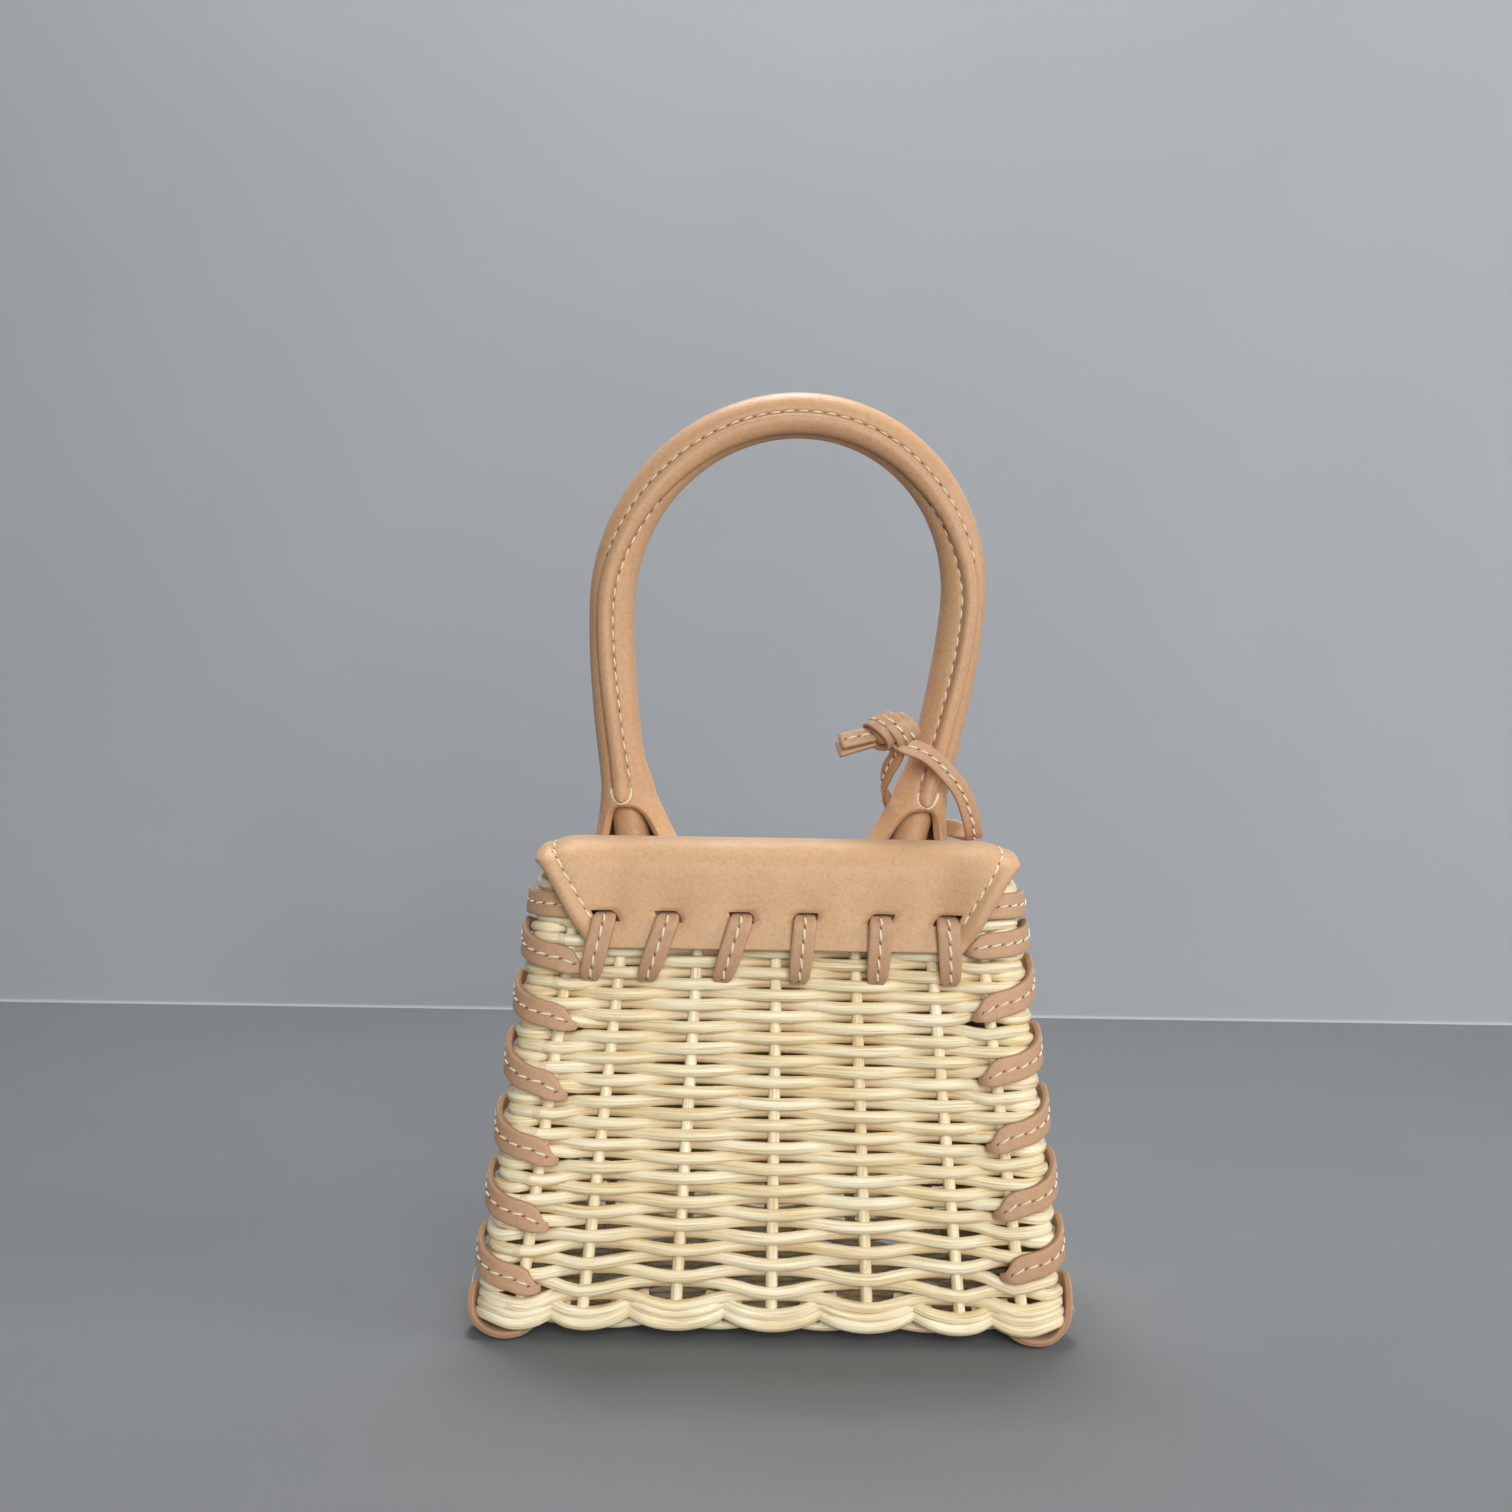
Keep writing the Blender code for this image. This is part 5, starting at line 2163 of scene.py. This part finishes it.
@dataclass
class Handle:
    """The rolled handle: one skin with the raised welt and the flared ends, and the two cores."""

    palette: Palette
    tree: Tree
    radius: float = 5.2 * MM
    span: float = 80.6 * MM
    foot_span: float = 66.4 * MM
    leg: float = 48.7 * MM
    rise: float = 42 * MM
    lean: float = 4.9 * MM
    shift: float = -0.9 * MM
    swell: float = 0.5 * MM
    cover_top: float = 104.15 * MM
    bottom: float = 112.2 * MM
    sides: int = 96
    welt_height: float = 1.35 * MM
    welt_turn: Table = (
        (0.0, -9.0), (0.15, -7.0), (0.5, -15.0), (0.68, 3.0), (0.85, 22.0), (1.0, 32.0),
    )
    welt_half: Table = ((0.0, 20.0), (0.5, 20.0), (0.72, 23.0), (1.0, 29.0))
    outer_seam_from: float = 0.62
    inner_seam_to: float = 0.80
    crease: float = 0.4 * MM
    tip_height: float = 113.3 * MM
    tip: float = 3.0 * MM
    flare_inner: tuple[float, float, float] = (128 * MM, 2.0, 5.0 * MM)
    flare_outer: tuple[float, float, float] = (120 * MM, 1.9, 3.7 * MM)
    flare_deep: tuple[float, float, float] = (119 * MM, 1.7, 3.4 * MM)
    flare_from: float = 116.2 * MM
    lip: float = 0.95 * MM
    mouth_peak: float = -1.2 * MM
    mouth_inner: float = 8.2 * MM
    mouth_outer: float = 5.9 * MM
    mouth_rise: float = 7.6 * MM
    floor_slope: float = -0.06
    core_radius: float = 4.1 * MM
    core_wave: float = 0.04
    thread_radius: float = 0.24 * MM
    foot_lines: dict[Side, tuple[Vector, Vector]] = field(init=False)

    def __post_init__(self) -> None:
        """Works out the foot of each leg."""
        self.foot_lines = {side: self.foot(side) for side in Side}

    def share(self, height: float) -> float:
        """Share of the way up the handle."""
        return (height - self.bottom) / (self.leg + self.rise)

    def line(self) -> list[Ring]:
        """The middle line from the left foot to the right foot.

        Returns:
            Its places in order.
        """
        spring = self.bottom + self.leg
        spots: list[tuple[float, float]] = []
        legs = 40
        for step in range(legs, 0, -1):
            drop = step / legs
            half = self.span / 2 - (self.span - self.foot_span) / 2 * drop**1.6
            spots.append((-half, spring - self.leg * drop))
        for step in range(65):
            angle = math.pi * (1 - step / 64)
            spots.append((self.span / 2 * math.cos(angle), spring + self.rise * math.sin(angle)))
        spots += [(-x, z) for x, z in reversed(spots[:legs])]
        points = []
        for x, z in spots:
            share = self.share(z)
            points.append((Vector((x + self.shift + self.lean * share, 0, z)), share))
        rings = []
        for index, (point, share) in enumerate(points):
            before, after = neighbours(points, index)
            along = (after[0] - before[0]).normalized()
            rings.append(Ring(point, along, along.cross(BACKWARD), share))
        return rings

    def foot(self, side: Side) -> tuple[Vector, Vector]:
        """The foot of a leg.

        Args:
            side: The leg.

        Returns:
            Its middle and the direction down along it.
        """
        rings = self.line()
        ring = rings[0] if side is Side.LEFT else rings[-1]
        return ring.point, -ring.along if side is Side.LEFT else ring.along

    def welt(self, share: float) -> float:
        """Angle of the raised welt's middle from -Y, towards the inside of the bend."""
        return from_table(self.welt_turn, share)

    def from_welt(self, share: float, turn: float) -> float:
        """Angle between a place round the handle and the welt's middle."""
        return abs((turn - self.welt(share) + 180) % 360 - 180)

    def leg_centre(self, side: Side, height: float) -> Vector:
        """The middle of a leg, or of its straight run downwards, at a height."""
        foot, down = self.foot_lines[side]
        return foot + down * ((height - foot.z) / down.z)

    def outline(self, share: float, turn: float, height: float) -> float:
        """The handle's radius, with the welt and the creases beside it.

        Args:
            share: Share of the way up.
            turn: Angle from -Y, towards the inside of the bend.
            height: Height of the place.

        Returns:
            The radius there.
        """
        full = self.radius + self.swell * max(0.0, 1 - max(0.0, share) * 7) ** 1.5
        off = self.from_welt(share, turn)
        above = height - self.tip_height
        reach = from_table(self.welt_half, share)
        if above < self.tip:
            reach *= math.sqrt(max(0.0, 1 - (1 - max(0.0, above) / self.tip) ** 2))
        crest = 0.0
        if off < reach:
            crest = (1 - (off / reach) ** 2) ** 0.62
        crease = self.crease * math.exp(-(((off - reach) / 4.5) ** 2)) if above > 0 else 0.0
        return full + self.welt_height * crest - crease

    def widened(self, height: float, turn: float) -> tuple[float, float]:
        """How much wider a flared end is than the grip.

        Args:
            height: Height of the place.
            turn: Angle from -Y, towards the inside of the bend.

        Returns:
            What is added along X on that side, and along Y.
        """
        found = []
        for start, power, extra in (
            self.flare_inner if math.sin(math.radians(turn)) > 0 else self.flare_outer,
            self.flare_deep,
        ):
            share = max(0.0, (start - height) / (start - self.cover_top))
            found.append(extra * share**power)
        return found[0], found[1]

    def surface(self, ring: Ring, turn: float) -> tuple[Vector, Vector]:
        """A place on the handle's surface.

        Args:
            ring: A place on its middle line.
            turn: Angle from -Y, towards the inside of the bend.

        Returns:
            The point and the outward direction there.
        """
        angle = math.radians(turn)
        out = BACKWARD * math.cos(angle) + ring.inner * math.sin(angle)
        across, deep = self.widened(ring.point.z, turn)
        point = ring.point + out * self.outline(ring.share, turn, ring.point.z)
        point += BACKWARD * (deep * math.cos(angle)) + ring.inner * (across * math.sin(angle))
        return point, out

    def flare_point(self, side: Side, turn: float, height: float, inset: float) -> Vector:
        """A point of a flared end.

        Args:
            side: The leg.
            turn: Angle from -Y, towards the inside of the bend.
            height: Its height.
            inset: Its distance inside the outer face.

        Returns:
            The point.
        """
        angle = math.radians(turn)
        radius = self.outline(self.share(height), turn, height) - inset
        across, deep = self.widened(height, turn)
        inner = Vector((-side.value, 0, 0))
        return (
            self.leg_centre(side, height)
            + BACKWARD * ((radius + deep) * math.cos(angle))
            + inner * ((radius + across) * math.sin(angle))
        )

    def mouth(self, side: Side, turn: float) -> float:
        """Height of a flared end's lower edge, with the arched mouth at -Y.

        Args:
            side: The leg.
            turn: Angle from -Y, towards the inside of the bend.

        Returns:
            The height.
        """
        low = self.flare_point(side, turn, self.cover_top, 0)
        middle = self.leg_centre(side, self.cover_top)
        floor = self.cover_top + self.floor_slope * (low.y - middle.y)
        offset = (low.x - middle.x) * -side.value - self.mouth_peak
        half = self.mouth_inner if offset > 0 else self.mouth_outer
        if math.cos(math.radians(turn)) <= 0 or abs(offset) >= half:
            return floor
        return floor + self.mouth_rise * (1 - abs(offset / half) ** 3.4) ** 0.4

    def flare_rows(self, side: Side, draft: Draft) -> list[list[int]]:
        """The rows of a flared end, from the grip down, round the lip and up inside.

        Args:
            side: The leg.
            draft: Where its points go.

        Returns:
            Rows of point numbers.
        """
        turns = [360 * step / self.sides for step in range(self.sides)]
        lows = [self.mouth(side, turn) + self.lip for turn in turns]
        rows = []
        for level in range(1, 19):
            heights = [blend(self.flare_from, low, level / 18) for low in lows]
            rows.append([
                draft.add(self.flare_point(side, turn, height, 0), edge=0.0)
                for turn, height in zip(turns, heights)
            ])
        for step in range(1, 9):
            angle = math.pi * step / 8
            inset = self.lip * (1 - math.cos(angle))
            drop = self.lip * math.sin(angle)
            rows.append([
                draft.add(self.flare_point(side, turn, low, inset) - UP * drop, edge=0.25)
                for turn, low in zip(turns, lows)
            ])
        top = self.flare_from - 1.5 * MM
        for level in range(1, 9):
            heights = [blend(low, top, level / 8) for low in lows]
            rows.append([
                draft.add(self.flare_point(side, turn, height, 2 * self.lip), edge=0.9)
                for turn, height in zip(turns, heights)
            ])
        return rows

    def build_skin(self) -> None:
        """The grip and both flared ends in one skin."""
        draft = Draft()
        rings = [ring for ring in self.line() if ring.point.z > self.flare_from + 0.4 * MM]
        rows = self.flare_rows(Side.LEFT, draft)[::-1]
        for ring in rings:
            row = []
            for step in range(self.sides):
                turn = 360 * step / self.sides
                point, _ = self.surface(ring, turn)
                # Painted shade: the creases beside the welt get an edge value, which darkens them towards
                # the raw colour as the shade in them.
                off = self.from_welt(ring.share, turn) - from_table(self.welt_half, ring.share)
                edge_and_crease_shade = 0.5 * math.exp(-((off / 5) ** 2))
                row.append(draft.add(point, edge=edge_and_crease_shade))
            rows.append(row)
        rows += self.flare_rows(Side.RIGHT, draft)
        draft.close(rows)
        nodes = ("handle_grip", "handle_flare_left", "handle_flare_right")
        mesh = draft.mesh("handle_skin")
        place_piece("rolled_handle", mesh, nodes, self.palette.handle)

    def build_seam(self) -> None:
        """The sewn lines on both sides of the welt and the thread round each tip."""
        seam = Seam(Stitch(pitch=3.2 * MM, length=2.0 * MM, radius=0.19 * MM, slant=4, mark_slant=8))
        rings = [ring for ring in self.line() if ring.point.z > self.tip_height + 4 * MM]
        top = [ring for ring in rings if ring.share > self.outer_seam_from]
        half = len(rings) // 2
        left = [ring for ring in rings[:half] if ring.share < self.inner_seam_to]
        right = [ring for ring in rings[half:] if ring.share < self.inner_seam_to]
        for run, sign in ((top, -1), (left, 1), (right, 1)):
            line = []
            for ring in run:
                beside = from_table(self.welt_half, ring.share) + 3
                line.append(self.surface(ring, self.welt(ring.share) + sign * beside))
            seam.follow(line)
        seam.finish("handle", Slot.HANDLE, self.tree, self.palette)
        draft = Draft()
        for side in Side:
            for lift in (0.0, 0.55 * MM):
                self.tip_thread(side, lift, draft)
        mesh = draft.mesh("tip_thread")
        place_piece("handle_tip_thread", mesh, material=self.palette.thread)

    def tip_thread(self, side: Side, lift: float, draft: Draft) -> None:
        """One strand of the thread that runs round a tip of the welt.

        Args:
            side: The leg.
            lift: How far the strand lies from the first one.
            draft: Where it goes.
        """
        line = []
        for number in range(19):
            angle = math.radians(180 * number / 18)
            height = self.tip_height + 3.4 * MM * (1 - math.sin(angle)) - 0.1 * MM - lift * 0.3
            share = self.share(height)
            reach = from_table(self.welt_half, share) + 2.5 + lift / MM * 4
            degrees = self.welt(share) + reach * math.cos(angle)
            turn = math.radians(degrees)
            out = BACKWARD * math.cos(turn) + Vector((-side.value, 0, 0)) * math.sin(turn)
            line.append((self.flare_point(side, degrees, height, -0.08 * MM), out))
        if lift:
            line = line[9:]
        rows = []
        for index, (point, out) in enumerate(line):
            before, after = neighbours(line, index)
            across = (after[0] - before[0]).normalized().cross(out)
            rows.append(draft.ring(point, across * self.thread_radius, out * self.thread_radius, 8))
        draft.close(rows)

    def build_core(self, side: Side) -> None:
        """The round core in the mouth of a flared end.

        Args:
            side: The leg.
        """
        draft = Draft()
        rows = []
        for level in range(9):
            height = blend(self.bottom + 1.2 * MM, self.cover_top + 0.1 * MM, level / 8)
            centre = self.leg_centre(side, height)
            row = []
            for step in range(28):
                angle = 2 * math.pi * step / 28
                out = Vector((math.cos(angle), math.sin(angle), 0))
                radius = self.core_radius * (1 - self.core_wave * math.cos(3 * angle))
                row.append(draft.add(centre + out * radius, edge=0.0))
            rows.append(row)
        draft.close(rows)
        name = side.name.lower()
        mesh = draft.mesh(f"core_{name}")
        nodes = (f"handle_core_{name}",)
        place_piece(f"core_{name}", mesh, nodes, self.palette.handle)

    def build(self) -> None:
        """Builds the handle."""
        self.build_skin()
        self.build_seam()
        for side in Side:
            self.build_core(side)


# The tie


@dataclass
class Tie:
    """The knotted leather tie round the right leg of the handle."""

    handle: Handle
    palette: Palette
    tree: Tree
    width: float = 4.2 * MM
    thickness: float = 1.15 * MM
    base_height: float = 104.9 * MM
    first_share: float = 0.9
    route: tuple[tuple[float, float, float, tuple[float, float, float]], ...] = (
        (-6.6, -10.2, 23.8, (0.1, -1, 0.35)),
        (-4.4, -11.3, 22.5, (0.1, -1, 0.35)),
        (-1.2, -11.1, 21.4, (0.1, -1, 0.3)),
        (1.4, -10.6, 20.1, (0.1, -1, 0.25)),
        (4.2, -9.3, 17.8, (0.1, -1, 0.2)),
        (7.3, -8.8, 14.5, (0.1, -1, 0.15)),
        (9.5, -7.8, 11.2, (0.1, -1, 0.1)),
        (11.0, -6.6, 7.6, (0.15, -1, 0)),
        (12.0, -5.2, 4.4, (0.2, -1, -0.2)),
        (12.6, -3.2, 2.2, (0.3, -0.6, -0.9)),
        (12.8, 0.2, 1.6, (0.15, 0, -1)),
        (12.0, 4.4, 2.1, (0.4, 0.3, -0.8)),
        (9.8, 8.6, 3.0, (0.7, 0.7, -0.3)),
        (5.6, 11.4, 3.6, (0.2, 1, 0)),
        (1.0, 11.2, 4.8, (-0.2, 1, 0)),
        (-3.4, 9.0, 7.0, (-0.8, 0.7, 0)),
        (-6.6, 5.4, 10.0, (-1, 0.3, 0)),
        (-7.8, 0.6, 13.4, (-1, -0.2, 0)),
        (-7.2, -4.4, 17.0, (-1, -0.5, -0.2)),
        (-5.6, -8.2, 20.4, (-1, -0.5, -0.2)),
        (-4.9, -9.4, 23.4, (-1, -0.6, -0.2)),
    )
    knot_offset: Vector = field(default_factory=lambda: Vector((-7.3, -10, 18.2)) * MM)
    direction: Vector = field(default_factory=lambda: Vector((-0.95, -0.12, -0.24)).normalized())
    knot_length: float = 10.2 * MM
    wrap_radius: float = 3.75 * MM
    tail_length: float = 6.6 * MM
    tail_more: tuple[float, float] = (1.3, 0.7)
    tail_root: float = 1.2 * MM
    tail_rise: float = 0.55 * MM
    tail_gap: float = 0.25 * MM
    tail_fall: float = 0.35 * MM
    tail_spread: tuple[float, float] = (math.radians(3), 0.03)
    core_radius: float = 3.3 * MM
    wrap_turns: float = 3.0
    wrap_steps: int = 48
    wrap_start: float = 20.0
    wrap_bulge: tuple[float, float] = (0.82, 0.26)
    wrap_slant: float = 1.3 * MM

    def knot_centre(self) -> Vector:
        """The middle of the knot."""
        return self.handle.foot(Side.RIGHT)[0] + self.knot_offset

    def build(self) -> None:
        """Builds the strap, the knot and the two tails."""
        seam = Seam(Stitch(length=2.1 * MM, pitch=2.9 * MM, radius=0.24 * MM))
        base = Vector((self.handle.foot(Side.RIGHT)[0].x, 0, self.base_height))
        half, thick = self.width / 2, self.thickness / 2
        stations = []
        for number, (x, y, z, hint) in enumerate(self.route):
            wide = half if number else self.first_share * half
            stations.append(Station(base + Vector((x, y, z)) * MM, Vector(hint), wide, thick, True))
        Strap("tie_loop", ("tie_strap",), self.palette).build(stations, 0.9 * MM, seam)
        self.build_knot(seam)
        face = Vector((0.1, -1, 0.75))
        face = (face - self.direction * face.dot(self.direction)).normalized()
        for layer in range(2):
            begin = self.knot_centre() + self.direction * (self.knot_length / 2 - self.tail_root)
            begin += face * (self.tail_rise - layer * (self.thickness + self.tail_gap))
            begin -= UP * self.tail_fall * layer
            apart = face * self.tail_spread[0] + UP * self.tail_spread[1]
            way = (self.direction - apart * layer).normalized()
            reach = self.tail_length + (self.tail_more[0] + self.tail_more[1] * layer) * MM
            tail = [
                Station(begin + way * reach * share, face, half * 0.96, thick, True)
                for share in (0, 0.35, 0.7, 1)
            ]
            strap = Strap(f"tie_end_{layer + 1}", (f"tie_tail_{layer + 1}",), self.palette)
            strap.build(tail, 0.9 * MM, seam)
        seam.finish("tie", Slot.LACE, self.tree, self.palette)

    def build_knot(self, seam: Seam) -> None:
        """The knot: a strap wound round its own core in slanting turns.

        Args:
            seam: Where its stitches go.
        """
        centre = self.knot_centre()
        axis = (self.direction + Vector((0.0, 0.0, -0.42))).normalized()
        across = axis.cross(UP).normalized()
        upward = across.cross(axis).normalized()
        half, thick = self.width / 2, self.thickness / 2
        draft = Draft()
        core = []
        for step in range(13):
            share = step / 12
            radius = self.core_radius * math.sin(math.pi * blend(0.16, 0.84, share)) ** 0.6
            middle = centre + self.direction * self.knot_length * 0.8 * (share - 0.5)
            core.append(draft.ring(middle, across * radius, upward * radius, 20, edge=0.4))
        draft.close(core)
        stations = []
        for step in range(self.wrap_steps + 1):
            share = step / self.wrap_steps
            angle = 2 * math.pi * self.wrap_turns * share + math.radians(self.wrap_start)
            bulge = self.wrap_bulge[0] + self.wrap_bulge[1] * math.sin(math.pi * share)
            out = across * math.cos(angle) + upward * math.sin(angle)
            middle = centre + self.direction * (self.knot_length - self.width) * (share - 0.5)
            slant = axis * self.wrap_slant * math.sin(angle + 0.8)
            point = middle + slant + out * self.wrap_radius * bulge
            stations.append(Station(point, out, half, thick, True))
        steps = fine_steps(stations, 0.8 * MM)
        add_strap(draft, steps)
        seam.sew(steps, 0.5 * MM)
        place_piece("knot", draft.mesh("knot"), ("tie_knot",), self.palette.lace)


# Studio


@dataclass(frozen=True)
class Lamp:
    """A soft square light: where it stands, where it looks, the length of its sides and its power
    in watts."""

    name: str
    place: tuple[float, float, float]
    target: tuple[float, float, float]
    size: float
    power: float

    def build(self) -> None:
        """Adds the light."""
        data = bpy.data.lights.new(self.name, "AREA")
        data.shape = "SQUARE"
        data.size = self.size
        data.energy = self.power
        lamp = show(self.name, data)
        lamp.location = self.place
        way = Vector(self.target) - Vector(self.place)
        lamp.rotation_euler = way.to_track_quat("-Z", "Y").to_euler()


@dataclass
class Studio:
    """The floor with its backdrop, the lights and the camera."""

    wall_colours: tuple[Rgb, ...] = ((164, 168, 173), (158, 162, 167))
    floor_colours: tuple[Rgb, ...] = ((118, 121, 123), (112, 115, 117))
    bend_radius: float = 0.0015
    wall_distance: float = 0.383
    width: float = 6.0
    depth: float = 3.0
    height: float = 2.5
    lamps: tuple[Lamp, ...] = (
        Lamp("overhead", (-0.05, 0.34, 1.08), (0, 0, 0.09), 0.4, 14.5),
        Lamp("front", (0.3, -1.5, 0.60), (0, 0, 0.09), 1.0, 20.5),
        Lamp("right_side", (1.15, -0.3, 0.55), (0.35, 0.38, 0.12), 0.6, 6.0),
    )
    air: tuple[float, float, float, float] = (1.0, 0.99, 0.97, 1)
    air_strength: float = 0.20
    sensor: float = 36
    lens: float = 36.05
    camera_place: tuple[float, float, float] = (-5.04, -348.5, 124.4)
    roll: float = 0.9

    def build_floor(self) -> None:
        """A sheet of paper that runs along the floor and up behind the bag."""
        draft = Draft()
        line = [Vector((0, -self.depth, 0)), Vector((0, self.wall_distance, 0))]
        for step in range(1, 17):
            angle = math.pi / 2 * step / 16
            y = self.wall_distance + self.bend_radius * math.sin(angle)
            line.append(Vector((0, y, self.bend_radius * (1 - math.cos(angle)))))
        line.append(line[-1] + UP * self.height)
        rows = []
        for point in line:
            rows.append([draft.add(point + Vector((x, 0, 0))) for x in (-self.width / 2, self.width / 2)])
        draft.skin(rows, around=False)
        mesh = draft.mesh("paper", tidy=False)
        mesh.materials.append(StudioFinish("wall_paper", *self.wall_colours).material())
        mesh.materials.append(StudioFinish("floor_paper", *self.floor_colours).material())
        mesh.polygons[0].material_index = 1
        paper = show("studio_paper", mesh)

    def build_lights(self) -> None:
        """A light above and behind, a wide one at the front and one on the wall at the right."""
        for lamp in self.lamps:
            lamp.build()
        world = bpy.data.worlds.new("studio")
        world.use_nodes = True
        background = world.node_tree.nodes["Background"]
        background.inputs["Color"].default_value = self.air
        background.inputs["Strength"].default_value = self.air_strength
        bpy.context.scene.world = world

    def build_camera(self) -> None:
        """The camera at the photograph's place."""
        data = bpy.data.cameras.new("camera")
        data.sensor_width = self.sensor
        data.lens = self.lens
        data.clip_start = 0.01
        camera = show("camera", data)
        roll = math.radians(self.roll)
        right = Vector((math.cos(roll), 0, math.sin(roll)))
        up = Vector((-math.sin(roll), 0, math.cos(roll)))
        turned = Matrix((right, up, BACKWARD)).transposed().to_4x4()
        camera.matrix_world = Matrix.Translation(Vector(self.camera_place) * MM) @ turned
        bpy.context.scene.camera = camera
        bpy.context.scene.view_settings.view_transform = "Standard"

    def build(self) -> None:
        """Builds the studio."""
        self.build_floor()
        self.build_lights()
        self.build_camera()


def main() -> None:
    """Builds the bag's looks and the studio."""
    logging.basicConfig(level=logging.INFO, format="%(name)s: %(message)s")
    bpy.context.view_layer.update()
    palette = build_palette()
    canes, stitches = cane_tree(), stitch_tree()
    body = Body()
    Weave(body, palette, canes).build()
    Laces(body, palette, stitches).build()
    straps = CoverStraps(body, palette, stitches)
    straps.build()
    Cover(body, palette, stitches, straps).build()
    handle = Handle(palette, stitches)
    handle.build()
    Tie(handle, palette, stitches).build()
    Studio().build()


if __name__ == "__main__":
    main()
